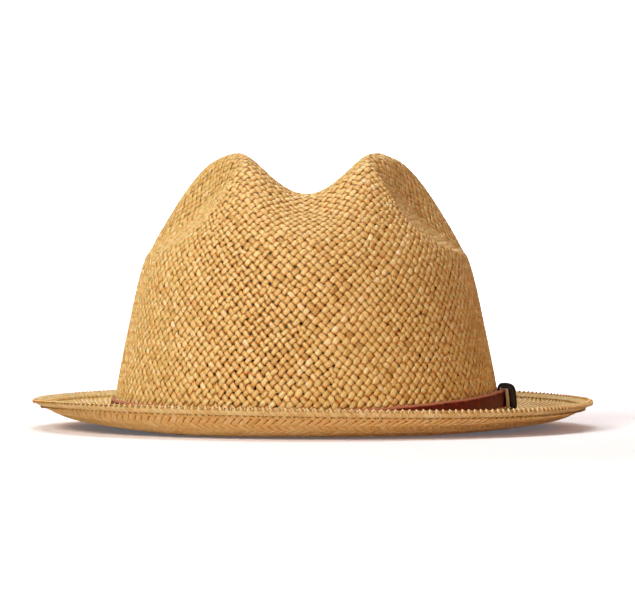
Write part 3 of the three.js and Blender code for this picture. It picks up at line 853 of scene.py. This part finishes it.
def leather_keeper():
    """A loop of leather round both layers of the strap, full and round on its outer side."""
    base, out, up, along = keeper_frame()
    half = KEEPER["thickness"] / 2
    inner_out = KEEPER["back"] / 2
    outer_out = KEEPER["back"] + 2 * (BAND["thickness"] + CLEARANCE) + KEEPER["room"] + half
    low, high = -KEEPER["slack"] - half * 0.5, BAND["height"] + KEEPER["slack"] + half
    corners = np.array([(inner_out, low), (outer_out, low), (outer_out, high), (inner_out, high)])
    line = []
    for k, (corner, radius) in enumerate(zip(corners, KEEPER["rounding"])):
        start = corner + unit(corners[k - 1] - corner) * radius
        end = corner + unit(corners[(k + 1) % 4] - corner) * radius
        for t in np.linspace(0, 1, KEEPER["corner_steps"]):
            line.append((1 - t) ** 2 * start + 2 * t * (1 - t) * corner + t**2 * end)
    line = np.array(line + line[:1])
    run = run_along(line)
    total = run[-1]
    bm = strip(total, KEEPER["width"], 1, KEEPER["bevel"], KEEPER["stations"], 2, closed=True)

    def on_line(at):
        return np.stack([np.interp(at % total, run, line[:, k]) for k in (0, 1)], -1)

    def place(flat):
        at = flat[:, 0] % total
        here = on_line(at)
        tangent = unit(on_line(at + KEEPER["step"]) - on_line(at - KEEPER["step"]))
        outward = np.stack([tangent[:, 1], -tangent[:, 0]], -1)
        back = smooth(inner_out + KEEPER["back_reach"], inner_out, here[:, 0])
        under = smooth(low + KEEPER["under_reach"], low, here[:, 1])
        outer = KEEPER["fuller"] * smooth(outer_out - KEEPER["outer_reach"], outer_out, here[:, 0])
        thick = mix(mix(KEEPER["thickness"] + outer, half, under), KEEPER["back"], back)
        crown = KEEPER["crown"] * (1 - (flat[:, 1] / KEEPER["width"] * 2 - 1) ** 2)
        level = here + outward * ((flat[:, 2] - 0.5) * thick + crown * (flat[:, 2] > 0.5))[:, None]
        return (base + level[:, :1] * out + level[:, 1:] * up
                + (flat[:, 1:2] - KEEPER["width"] / 2) * along)
    piece = placed(bm, "leather_keeper", place)
    joined = bmesh.new()
    joined.from_mesh(piece.data)
    bmesh.ops.remove_doubles(joined, verts=joined.verts, dist=KEEPER["joined"] * MM)
    bmesh.ops.recalc_face_normals(joined, faces=joined.faces)
    joined.to_mesh(piece.data)
    joined.free()
    return piece


def sweatband_face(height):
    """How far out the sweatband's face lies, on the side away from the straw."""
    return -(STRAW_WALL + CLEARANCE + SWEATBAND["thickness"] + SWEATBAND["lean"] * height / SWEATBAND["top"])


def cloth_sweatband():
    """Cloth band spun from its section, rolled at the foot and turned over at the top."""
    wall, foot, roll = -(STRAW_WALL + CLEARANCE), SWEATBAND["foot"], SWEATBAND["roll"]
    thickness, top, radius = SWEATBAND["thickness"], SWEATBAND["top"], SWEATBAND["radius"]
    neck, lip = foot + 2 * roll + thickness, top - SWEATBAND["lip"]
    section = [(wall, foot + roll)]
    section += [(sweatband_face(h) + thickness, h) for h in np.linspace(neck, lip, 6)]
    section += [(sweatband_face(top) + thickness * share, top)
                for share in (SWEATBAND["lip_share"], 1 - SWEATBAND["lip_share"])]
    section += [(sweatband_face(h), h) for h in np.linspace(lip, neck, 9)]
    section += [(wall - roll * a, foot + roll * b) for a, b in ROLL_SECTION]
    bm = bmesh.new()
    ring = [bm.verts.new((radius + out, 0, height)) for out, height in section]
    edges = [bm.edges.new((a, b)) for a, b in zip(ring, ring[1:] + ring[:1])]
    bmesh.ops.spin(bm, geom=ring + edges, cent=(0, 0, 0), axis=(0, 0, 1), angle=2 * math.pi,
                   steps=SWEATBAND["steps"], use_merge=True)
    bmesh.ops.remove_doubles(bm, verts=bm.verts, dist=0.001)
    bmesh.ops.recalc_face_normals(bm, faces=bm.faces)
    uv = bm.loops.layers.uv.new("UVMap")
    for face in bm.faces:
        middle = math.atan2(face.calc_center_median().y, face.calc_center_median().x)
        for loop in face.loops:
            co = loop.vert.co
            angle = math.atan2(co.y, co.x)
            angle += round((middle - angle) / (2 * math.pi)) * 2 * math.pi
            loop[uv].uv = (angle * SWEATBAND["girth_radius"], co.z)
    flat = np.array([v.co for v in bm.verts])
    turn = np.degrees(np.arctan2(flat[:, 1], flat[:, 0]))
    out, height = np.hypot(flat[:, 0], flat[:, 1]) - radius, flat[:, 2]
    near, far = SWEATBAND["slack_from"]
    loose = (smooth(wall - near, wall - far, out) * smooth(*SWEATBAND["slack_low"], height)
             * smooth(*SWEATBAND["slack_high"], height))
    slack = sum(size * np.sin(np.radians(turn * waves + start)) for size, waves, start in SWEATBAND["slack"])
    for vert, point in zip(bm.verts, off_crown(turn, height, out - np.abs(slack) * loose) * MM):
        vert.co = point
    return finished(bm, "cloth_sweatband")


def sewn_turn(sewn, along):
    """Turn of a place along a thing sewn to the sweatband."""
    return sewn["turn"] + (along - sewn["width"] / 2) * math.degrees(1 / (CROWN_HALF[1] - STRAW_WALL))


def woven_label():
    """Label stitched to the sweatband at its four edges, a little full between them."""
    bm = strip(LABEL["width"], LABEL["height"], LABEL["thickness"], LABEL["bevel"], LABEL["columns"],
               LABEL["rows"])

    def place(flat):
        x, y = flat[:, 0] / LABEL["width"], flat[:, 1] / LABEL["height"]
        full = LABEL["fullness"] * np.sin(math.pi * x) ** LABEL["full_power"]
        full = full * np.sin(math.pi * y) ** LABEL["full_power"]
        pucker = LABEL["pucker"] * np.sin(math.pi * x * LABEL["puckers"])
        pucker = pucker * (np.abs(y - 0.5) > LABEL["pucker_from"])
        height = LABEL["foot"] + flat[:, 1]
        out = sweatband_face(height) - LABEL["stand_off"] - flat[:, 2] - full + pucker
        return off_crown(sewn_turn(LABEL, flat[:, 0]), height, out)
    return placed(bm, "woven_label", place)


def size_tab():
    """Plain tab of clear red-brown film, standing up from behind the sweatband."""
    bm = strip(TAB["width"], TAB["height"] - CLEARANCE, TAB["thickness"], TAB["bevel"], TAB["columns"],
               TAB["rows"])

    def place(flat):
        height = SWEATBAND["top"] + CLEARANCE + flat[:, 1]
        return off_crown(sewn_turn(TAB, flat[:, 0]), height, -(STRAW_WALL + CLEARANCE) - flat[:, 2])
    return placed(bm, "plain_tab", place)


def cloth_lining():
    """Cotton patch over the front and the wearer's right, with soft folds."""
    width, length = LINING["cut"]
    columns, rows = LINING["grid"]
    bm = bmesh.new()
    bmesh.ops.create_grid(bm, x_segments=columns, y_segments=rows, size=0.5)
    bmesh.ops.scale(bm, vec=(width, length, 1), verts=bm.verts)

    def place(flat):
        over, up = flat[:, 0] / width, flat[:, 1] / length
        turn = mix(LINING["from"], LINING["to"], over + 0.5)
        share = mix(share_at_height(turn, LINING["foot"]), LINING["top_share"], up + 0.5)
        point, normal = off_face(crown_point, turn, share, *LINING["normal_steps"])
        far = turn * LINING["far"]
        fold = sum(size * np.sin(far * round_it + share * down + start)
                   for size, round_it, down, start in LINING["folds"])
        loose = (smooth(*LINING["held_foot"], up) * smooth(*LINING["held_top"], up)
                 * smooth(*LINING["held_side"], np.abs(over)))
        depth = STRAW_WALL + LINING["stand_off"] + (LINING["fullness"] + fold * LINING["fold"]) * loose
        return point - normal * depth[:, None]
    piece = placed(bm, "cotton_lining", place)
    thick = bmesh.new()
    thick.from_mesh(piece.data)
    inner = [v for v in thick.verts if not v.is_boundary]
    for _ in range(LINING["easing"]):
        bmesh.ops.smooth_vert(thick, verts=inner, factor=0.5, use_axis_x=True, use_axis_y=True,
                              use_axis_z=True)
    bmesh.ops.recalc_face_normals(thick, faces=thick.faces)
    bmesh.ops.solidify(thick, geom=list(thick.faces), thickness=LINING["thickness"] * MM)
    thick.to_mesh(piece.data)
    thick.free()
    return piece


def badge_frame():
    """Middle of the badge's upper face and its three directions: across, front to back, and down."""
    turn, share = np.array(float(BADGE["turn"])), np.array(BADGE["share"])
    out = -(STRAW_WALL + BADGE["stand_off"])
    centre = off_outline(turn, share, out)
    inward = unit(off_outline(turn, share, out - 1) - centre)
    lengthways = unit(np.array([0, 1, 0]) - inward * inward[1])
    return centre, np.cross(lengthways, inward), lengthways, inward


def on_badge(flat):
    centre, crossways, lengthways, inward = badge_frame()
    return centre + flat[:, :1] * crossways + flat[:, 1:2] * lengthways + flat[:, 2:] * inward


def badge_patch():
    """Stiff oval patch with a full, rounded edge."""
    bm = bmesh.new()
    bmesh.ops.create_circle(bm, cap_ends=True, segments=BADGE["sides"], radius=1)
    bmesh.ops.scale(bm, vec=(BADGE["half_width"], BADGE["half_length"], 1), verts=bm.verts)
    grown = bmesh.ops.extrude_face_region(bm, geom=list(bm.faces))
    moved = [v for v in grown["geom"] if isinstance(v, bmesh.types.BMVert)]
    bmesh.ops.translate(bm, vec=(0, 0, BADGE["thickness"]), verts=moved)
    bmesh.ops.recalc_face_normals(bm, faces=bm.faces)
    rims = [e for e in bm.edges if len(e.link_faces) == 2 and e.calc_face_angle() > 1]
    bevelled(bm, rims, BADGE["bevel"], 4)
    return placed(bm, "badge_patch", on_badge)


# Embroidery threads. A border has its share of the badge and its thickness; an oval has its half width,
# half length, thickness and tone.
THREAD = {"level": 0.12, "flatness": 0.55, "oval_steps": 72, "border_tone": 0.6, "thin_border": 0.6,
          "slant": 0.25, "bar_lift": 0.16, "bar_stations": 5, "bar_thread": (0.62, 0.34), "tones": (0.3, 0.8)}
BORDER = ((0.865, 0.95), (0.815, 0.4), (0.77, 0.7))
SPRIG = {"along": 10.6, "across": 4.6, "lean": 14, "ovals": ((4.2, 1.7, 0.55, 0.5), (2.8, 0.75, 0.4, 0.35))}
BAR = {"along": 3.2, "from": 2.4, "to": 11.6, "breadth": 2.0, "threads": 24}
KNOT = (1.1, 1.9, 0.6, 0.6)


def lay_flat(batch, flat, breadth, thickness, tone, closed=True):
    """A thread through flat places of the badge, with its top turned away from the straw."""
    down = np.broadcast_to(badge_frame()[3], flat.shape)
    batch.lay(on_badge(flat), down, breadth, thickness, 1, tone, closed)


def oval(half_width, half_length, level, steps):
    angle = np.linspace(0, 2 * math.pi, steps, endpoint=False)
    return np.stack([half_width * np.cos(angle), half_length * np.sin(angle),
                     np.full_like(angle, level)], -1)


def thread_loop(batch, half_width, half_length, thickness, tone, level, centre=(0, 0), lean=0):
    """A closed oval of thread on the badge; lean turns it, in degrees."""
    x, y, z = oval(half_width, half_length, level, THREAD["oval_steps"]).T
    c, s = math.cos(math.radians(lean)), math.sin(math.radians(lean))
    flat = np.stack([centre[0] + c * x - s * y, centre[1] + s * x + c * y, z], -1)
    lay_flat(batch, flat, thickness, thickness * THREAD["flatness"], tone)


def thread_bar(batch, start, end, breadth, count, level):
    """A satin-stitched bar: short threads laid side by side, a little slanted."""
    start, end = np.array(start), np.array(end)
    ahead = unit(end - start)
    beside = np.array([-ahead[1], ahead[0]])
    reach = (beside + ahead * THREAD["slant"]) * breadth / 2
    t = np.linspace(0, 1, THREAD["bar_stations"])[:, None]
    for k in range(count):
        middle = mix(start, end, (k + 0.5) / count)
        line = (middle - reach) * (1 - t) + (middle + reach) * t
        flat = np.hstack([line, level + THREAD["bar_lift"] * np.sin(math.pi * t)])
        lay_flat(batch, flat, *THREAD["bar_thread"], float(rng.uniform(*THREAD["tones"])), False)


def badge_threads():
    """Gilt border, and plain sprigs and bars inside it."""
    batch = Straws()
    level = BADGE["thickness"] + THREAD["level"]
    for share, thickness in BORDER:
        sunk = THREAD["level"] * (thickness < THREAD["thin_border"])
        thread_loop(batch, BADGE["half_width"] * share, BADGE["half_length"] * share, thickness,
                    THREAD["border_tone"], level - sunk)
    for along in (-SPRIG["along"], SPRIG["along"]):
        for across in (-SPRIG["across"], SPRIG["across"]):
            lean = SPRIG["lean"] * np.sign(along * across)
            for oval_sizes in SPRIG["ovals"]:
                thread_loop(batch, *oval_sizes, level, (across, along), lean)
    for along in (-BAR["along"], BAR["along"]):
        for start, end in ((-BAR["to"], -BAR["from"]), (BAR["from"], BAR["to"])):
            thread_bar(batch, (start, along), (end, along), BAR["breadth"], BAR["threads"], level)
    thread_loop(batch, *KNOT, level)
    return batch.made("badge_threads")


def badge_edge():
    """The rolled, oversewn edge of the badge."""
    batch = Straws()
    inset, steps = BADGE["cord_inset"], BADGE["cord_steps"]
    flat = oval(BADGE["half_width"] - inset, BADGE["half_length"] - inset,
                BADGE["thickness"] * BADGE["cord_lift"], steps)
    angle = np.linspace(0, 2 * math.pi, steps, endpoint=False)
    wave = np.sin(angle * BADGE["cord_turns"] + BADGE["cord_start"])
    breadth = BADGE["cord_breadth"] * (1 + BADGE["cord_swell"] * wave)
    lay_flat(batch, flat, breadth, BADGE["cord"], TONE["middle"])
    return batch.made("badge_edge")


def sweatband_stitches():
    """Small stitches that hold the sweatband, in a row above its roll, seen from inside."""
    batch = Straws()
    count, lift = STITCH["count"], np.array(STITCH["lift"])
    for k in range(count):
        turn = np.linspace(360 * k / count, 360 * (k + STITCH["share"]) / count, len(lift))
        height = np.full(len(lift), STITCH["height"])
        out = sweatband_face(height) - lift
        centre = off_crown(turn, height, out)
        beyond = off_crown(turn, height, out - 1)
        batch.lay(centre, unit(beyond - centre), STITCH["breadth"], STITCH["thickness"], 1, TONE["middle"])
    return batch.made("sweatband_stitches")


def leather_material(name, colours, roughness, height=None, edge_colour=None, tip=None):
    """Leather with a fine pebbled grain of 0.8 mm and blotches of some 3 mm. The edges of a strap of a
    height, and its tip, from a place along it on, have their own colours. Its UV map is in
    millimetres."""
    made, tree, shader = material(name)
    uv = node(tree, "UVMap", {"uv_map": "UVMap"})
    grain = node(tree, "TexVoronoi", {"feature": "DISTANCE_TO_EDGE", "Scale": 1.25, "Vector": uv})
    mottle = node(tree, "TexNoise", {"Scale": 0.35, "Detail": 5, "Roughness": 0.6, "Vector": uv})
    colour = node(tree, "ValToRGB", {0: mottle, "stops": colours})
    if height:
        parts = node(tree, "SeparateXYZ", {0: uv}).outputs
        off_middle = node(tree, "Math", {"operation": "SUBTRACT", 0: parts[1], 1: height / 2})
        from_middle = node(tree, "Math", {"operation": "ABSOLUTE", 0: off_middle})
        ragged = node(tree, "Math", {"operation": "MULTIPLY_ADD", 0: mottle, 1: 0.9, 2: from_middle})
        rim = node(tree, "MapRange", {0: ragged, "From Min": height / 2 - 0.75, "From Max": height / 2 - 0.3})
        at_tip = node(tree, "Math", {"operation": "GREATER_THAN", 0: parts[0], 1: tip[0]})
        for part, part_colour in ((rim, edge_colour), (at_tip, tip[1])):
            colour = node(tree, "Mix", {"data_type": "RGBA", 0: part, "A": colour, "B": part_colour})
    fitted(tree, shader, {
        "Base Color": colour, "Roughness": roughness, "IOR": 1.38,
        "Normal": node(tree, "Bump", {"Strength": 0.5, "Distance": 0.1 * MM, "Height": grain})})
    return made


def cloth_material(name, colours, pitch, roughness, sheen, twill=False):
    """Woven cloth: ribs at a thread pitch in millimetres, straight or on the slant, with painted shade in
    the grooves between them, and thicker yarn every 5 mm or so."""
    made, tree, shader = material(name)
    uv = node(tree, "UVMap", {"uv_map": "UVMap"})
    x, y, _ = node(tree, "SeparateXYZ", {0: uv}).outputs
    ways = [node(tree, "Math", {"operation": "ADD", 0: x, 1: y})] if twill else [x, y]
    ribs = []
    for way in ways:
        phase = node(tree, "Math", {"operation": "MULTIPLY", 0: way, 1: 2 * math.pi / pitch})
        ribs.append(node(tree, "Math", {"operation": "SINE", 0: phase}))
    rib = ribs[0] if twill else node(tree, "Math", {"operation": "MULTIPLY", 0: ribs[0], 1: ribs[1]})
    slub = node(tree, "TexNoise", {"Scale": 0.22, "Detail": 4, "Vector": uv})
    base = node(tree, "ValToRGB", {0: slub, "stops": colours})
    # Painted shade: the grooves between the ribs are darker
    risen = node(tree, "Math", {"operation": "MULTIPLY_ADD", 0: rib, 1: 0.5, 2: 0.5})
    shade = node(tree, "ValToRGB", {0: risen, "stops": ((0, "#c8c8c8"), (1, "#ffffff"))})
    colour = node(tree, "Mix", {"data_type": "RGBA", "blend_type": "MULTIPLY", 0: 0.6, "A": base, "B": shade})
    fitted(tree, shader, {
        "Base Color": colour, "Roughness": roughness, "Sheen Weight": sheen, "Specular IOR Level": 0.2,
        "Normal": node(tree, "Bump", {"Strength": 0.35, "Distance": 0.12 * MM, "Height": rib})})
    return made


# Figure of the label in millimetres: a row of lozenges between two lines, in gold on a near-black green
FIGURE = {"cell": 4.6, "slope": 1.15, "outline": (2.35, 0.28), "core": 0.95, "row_reach": 13.8,
          "line": (3.9, 0.22), "line_reach": 12, "shift": 60, "pick": 0.42, "end": 0.36}


def label_material():
    """Damask label with its figure woven in: a ground with blossoms of some 3 mm, and worn gold yarn."""
    made, tree, shader = material("DamaskLabel")
    uv = node(tree, "UVMap", {"uv_map": "UVMap"})
    parts = node(tree, "SeparateXYZ", {0: uv}).outputs
    x = node(tree, "Math", {"operation": "SUBTRACT", 0: parts[0], 1: LABEL["width"] / 2})
    y = node(tree, "Math", {"operation": "SUBTRACT", 0: parts[1], 1: LABEL["height"] / 2})
    far_x = node(tree, "Math", {"operation": "ABSOLUTE", 0: x})
    far_y = node(tree, "Math", {"operation": "ABSOLUTE", 0: y})
    shifted = node(tree, "Math", {"operation": "ADD", 0: x, 1: FIGURE["shift"]})
    in_cell = node(tree, "Math", {"operation": "MODULO", 0: shifted, 1: FIGURE["cell"]})
    off_cell = node(tree, "Math", {"operation": "SUBTRACT", 0: in_cell, 1: FIGURE["cell"] / 2})
    far_cell = node(tree, "Math", {"operation": "ABSOLUTE", 0: off_cell})
    lozenge = node(tree, "Math", {"operation": "MULTIPLY_ADD", 0: far_cell, 1: FIGURE["slope"], 2: far_y})
    middle, reach = FIGURE["outline"]
    outline = node(tree, "Math", {"operation": "COMPARE", 0: lozenge, 1: middle, 2: reach})
    core = node(tree, "Math", {"operation": "LESS_THAN", 0: lozenge, 1: FIGURE["core"]})
    lozenges = node(tree, "Math", {"operation": "MAXIMUM", 0: outline, 1: core})
    middle, reach = FIGURE["line"]
    lines = node(tree, "Math", {"operation": "COMPARE", 0: far_y, 1: middle, 2: reach})
    bounded = []
    for figure, reach in ((lozenges, FIGURE["row_reach"]), (lines, FIGURE["line_reach"])):
        within = node(tree, "Math", {"operation": "LESS_THAN", 0: far_x, 1: reach})
        bounded.append(node(tree, "Math", {"operation": "MULTIPLY", 0: figure, 1: within}))
    gold = node(tree, "Math", {"operation": "MAXIMUM", 0: bounded[0], 1: bounded[1]})
    waves = []
    for part, pitch in ((parts[1], FIGURE["pick"]), (parts[0], FIGURE["end"])):
        phase = node(tree, "Math", {"operation": "MULTIPLY", 0: part, 1: 2 * math.pi / pitch})
        waves.append(node(tree, "Math", {"operation": "SINE", 0: phase}))
    threads = node(tree, "Math", {"operation": "MULTIPLY", 0: waves[0], 1: waves[1]})
    damask = node(tree, "TexVoronoi", {"feature": "SMOOTH_F1", "Scale": 0.3, "Vector": uv})
    ground = node(tree, "ValToRGB", {
        0: damask, "stops": ((0.2, "#0b0e0a"), (0.55, "#171f17"), (0.8, "#090c09"))})
    worn = node(tree, "TexNoise", {"Scale": 1.6, "Detail": 3, "Vector": uv})
    yarn = node(tree, "ValToRGB", {0: worn, "stops": ((0.3, "#6d6328"), (0.7, "#b9a750"))})
    colour = node(tree, "Mix", {"data_type": "RGBA", 0: gold, "A": ground, "B": yarn})
    raised = node(tree, "Math", {"operation": "MULTIPLY_ADD", 0: gold, 1: 1.5, 2: threads})
    fitted(tree, shader, {
        "Base Color": colour, "Roughness": 0.5, "Specular IOR Level": 0.25,
        "Normal": node(tree, "Bump", {"Strength": 0.4, "Distance": 0.1 * MM, "Height": raised})})
    return made


def thread_material(name, colours, metallic, roughness, twist):
    """Twisted thread; twist is the length of one turn in millimetres."""
    made, tree, shader = material(name)
    tone, run, across = (node(tree, "Attribute", {"attribute_name": key}).outputs["Fac"]
                         for key in ("tone", "run_mm", "across"))
    turns = node(tree, "Math", {"operation": "MULTIPLY_ADD", 0: run, 1: 2 * math.pi / twist, 2: across})
    ply = node(tree, "Math", {"operation": "SINE", 0: turns})
    fitted(tree, shader, {
        "Base Color": node(tree, "ValToRGB", {0: tone, "stops": colours}),
        "Metallic": metallic, "Roughness": roughness,
        "Normal": node(tree, "Bump", {"Strength": 0.6, "Distance": 0.1 * MM, "Height": ply})})
    return made


def film_material():
    """Clear red-brown film, darkest where it folds over along its edges."""
    made, tree, shader = material("RedBrownFilm")
    uv = node(tree, "UVMap", {"uv_map": "UVMap"})
    parts = node(tree, "SeparateXYZ", {0: uv}).outputs
    beyond = []
    for part, half, reach in ((parts[0], TAB["width"] / 2, 5.2), (parts[1], TAB["height"] / 2, 2.2)):
        off_middle = node(tree, "Math", {"operation": "SUBTRACT", 0: part, 1: half})
        far = node(tree, "Math", {"operation": "ABSOLUTE", 0: off_middle})
        beyond.append(node(tree, "Math", {"operation": "ADD", 0: far, 1: -reach}))
    edge = node(tree, "Math", {"operation": "MAXIMUM", 0: beyond[0], 1: beyond[1]})
    level = node(tree, "Math", {"operation": "ADD", 0: edge, 1: 0.5})
    colour = node(tree, "ValToRGB", {
        0: level, "stops": ((0.3, "#95614a"), (0.44, "#5a2c20"), (0.56, "#5a2c20"), (0.7, "#8a5540"))})
    fitted(tree, shader, {"Base Color": colour, "Roughness": 0.3, "Transmission Weight": 0.35, "IOR": 1.49})
    return made


def stitch_material():
    """Spun polyester thread, black, too fine for its twist to show."""
    made, tree, shader = material("BlackThread")
    fitted(tree, shader, {"Base Color": "#17161a", "Roughness": 0.5})
    return made


# Bridle leather, dark brown, oiled, and lighter along its edges
strap_leather = leather_material(
    "BrownLeather", ((0.3, "#3c0b06"), (0.5, "#5c1508"), (0.72, "#7c2410")), 0.6,
    BAND["height"], "#b87a62", (592, "#b3a283"))
# Bridle leather, black, with a wax polish that catches the light along its edges
keeper_leather = leather_material(
    "BlackLeather", ((0.3, "#080304"), (0.6, "#0e0607"), (0.8, "#170b0c")), 0.5)
# Cotton twill, black: matt, with slanted ribs
sweatband_cloth = cloth_material(
    "BlackTwill", ((0.3, "#030304"), (0.7, "#070708")), 0.9, 0.9, 0.02, True)
# Cotton sheeting, unbleached: dry and grey-beige, a little uneven in tone
lining_cloth = cloth_material(
    "UnbleachedCotton", ((0.3, "#a19274"), (0.55, "#b5a685"), (0.75, "#c5b795")), 0.62, 0.9, 0.2)
# Felt-backed satin, black: a soft gleam over fine ribs
badge_cloth = cloth_material("BlackSatin", ((0.3, "#09080a"), (0.7, "#141213")), 0.5, 0.55, 0.3)
# Gilt embroidery thread, which glints along its twist, and black rayon thread, smooth and darker
gold_thread = thread_material(
    "GiltThread", ((0.2, "#8f7a4d"), (0.6, "#c4ad72"), (0.9, "#e2d3a0")), 0.45, 0.4, 0.9)
badge_thread = thread_material("BlackRayon", ((0, "#0a090b"), (1, "#17151a")), 0, 0.38, 0.55)

dress(leather_strap(), strap_leather, "strap_leather", "hat_band")
dress(leather_keeper(), keeper_leather, "keeper_leather", "keeper_loop")
sweatband = dress(cloth_sweatband(), sweatband_cloth, "sweatband_cloth", "sweatband")
stitches = dress(sweatband_stitches(), stitch_material(), "sweatband_cloth", "sweatband")
label = dress(woven_label(), label_material(), "woven_label", "sweatband_label")
dress(size_tab(), film_material(), "tab_plastic", "size_tab")
lining = dress(cloth_lining(), lining_cloth, "lining_cloth", "crown_lining")
dress(badge_patch(), badge_cloth, "badge_cloth", "crown_badge")
dress(badge_edge(), badge_thread, "badge_cloth", "crown_badge")
dress(badge_threads(), gold_thread, "badge_cloth", "crown_badge")


# Stage, in metres: a white paper sweep, and each light's place, aim, size, power and colour
SWEEP = {"half_width": 3.0, "front": -2.6, "back": 1.6, "height": 2.6, "bend": 0.7, "bend_steps": 16}
LIGHTS = {
    "key": ((-0.9, -1.11, 0.95), (0, 0, 0.06), (0.6, 0.6), 20.4, "#fff6ec"),
    "top": ((-0.1, 0.15, 1.5), (0, 0, 0.05), (0.9, 0.9), 8, "#fffaf2"),
    "fill": ((0.8, -1.4, 0.3), (0, 0, 0.06), (0.9, 0.6), 3, "#ff8854"),
    "low": ((-0.5, -2.3, 0.05), (0, 0, 0.02), (1.2, 0.1), 12, "#fffaf0"),
    "wall": ((0, 0.75, 1.7), (0, 1.6, 0.7), (1.6, 0.4), 26, "#ffffff"),
}
CAMERA = {"place": (0.002, -2.0, 0.085), "aim": (0.002, 0, 0.06), "lens": 246, "sensor": 36}


def sweep_backdrop():
    """Floor and back wall in one smooth sheet."""
    bend, steps, half_width = SWEEP["bend"], SWEEP["bend_steps"], SWEEP["half_width"]
    turns = [math.radians(90 * k / steps) for k in range(steps + 1)]
    profile = [(SWEEP["front"], 0)]
    profile += [(SWEEP["back"] - bend + bend * math.sin(a), bend * (1 - math.cos(a))) for a in turns]
    profile += [(SWEEP["back"], SWEEP["height"])]
    bm = bmesh.new()
    side = [bm.verts.new((-half_width, y, z)) for y, z in profile]
    edges = [bm.edges.new((a, b)) for a, b in zip(side, side[1:])]
    grown = bmesh.ops.extrude_edge_only(bm, edges=edges)
    moved = [v for v in grown["geom"] if isinstance(v, bmesh.types.BMVert)]
    bmesh.ops.translate(bm, vec=(2 * half_width, 0, 0), verts=moved)
    bm.normal_update()
    bm.faces.ensure_lookup_table()
    if bm.faces[0].normal.z < 0:
        bmesh.ops.reverse_faces(bm, faces=bm.faces)
    mesh = bpy.data.meshes.new("backdrop")
    bm.to_mesh(mesh)
    bm.free()
    mesh.shade_smooth()
    return in_scene("backdrop", mesh)


def paper_material():
    """White paper, which throws a warm light back on the hat. Far from the hat it burns out to white,
    and to a camera behind it it isn't there, so every side of the hat can be seen."""
    made, tree, shader = material("PaperSweep")
    seen = node(tree, "LightPath", {}).outputs["Is Camera Ray"]
    colour = node(tree, "Mix", {"data_type": "RGBA", 0: seen, "A": "#ecd9cb", "B": "#eef3fb"})
    place = node(tree, "NewGeometry", {}).outputs
    far_off = node(tree, "VectorMath", {"operation": "LENGTH", 0: place["Position"]})
    burnt = node(tree, "MapRange", {0: far_off, "From Min": 0.3, "From Max": 0.8})
    glow = node(tree, "Math", {"operation": "ADD", 0: burnt, 1: 0.11})
    seen_glow = node(tree, "Math", {"operation": "MULTIPLY", 0: glow, 1: seen})
    fitted(tree, shader, {"Base Color": colour, "Roughness": 0.85, "Emission Color": "#e8f0ff",
                          "Emission Strength": seen_glow})
    behind = node(tree, "Math", {"operation": "MULTIPLY", 0: place["Backfacing"], 1: seen})
    clear = node(tree, "BsdfTransparent", {})
    surface = node(tree, "MixShader", {0: behind, 1: shader, 2: clear})
    fitted(tree, tree.nodes["Material Output"], {"Surface": surface})
    return made


def aimed(thing, place, aim):
    """Puts a light or the camera at a place, looking at its aim."""
    thing.location = place
    thing.rotation_euler = (Vector(aim) - Vector(place)).to_track_quat("-Z", "Y").to_euler()


backdrop = sweep_backdrop()
backdrop.data.materials.append(paper_material())
backdrop.visible_glossy = False

for name, (place, aim, size, power, colour) in LIGHTS.items():
    lamp = bpy.data.lights.new(name, "AREA")
    lamp.shape = "RECTANGLE"
    lamp.size, lamp.size_y = size
    lamp.energy = power
    lamp.color = linear(colour)[:3]
    aimed(in_scene(name, lamp), place, aim)

# The room lights the hat with a weak warm light, and is white to the camera
world = bpy.data.worlds.new("room")
bpy.context.scene.world = world
world.use_nodes = True
room = world.node_tree
warm_room = fitted(room, room.nodes["Background"], {"Color": "#ffa878", "Strength": 0.11})
white_room = node(room, "Background", {"Color": "#ffffff", "Strength": 1.0})
to_camera = node(room, "LightPath", {}).outputs["Is Camera Ray"]
room_seen = node(room, "MixShader", {0: to_camera, 1: warm_room, 2: white_room})
fitted(room, room.nodes["World Output"], {"Surface": room_seen})

camera_data = bpy.data.cameras.new("camera")
camera_data.sensor_width = CAMERA["sensor"]
camera_data.lens = CAMERA["lens"]
camera = in_scene("camera", camera_data)
aimed(camera, CAMERA["place"], CAMERA["aim"])
bpy.context.scene.camera = camera
bpy.context.scene.view_settings.view_transform = "Standard"
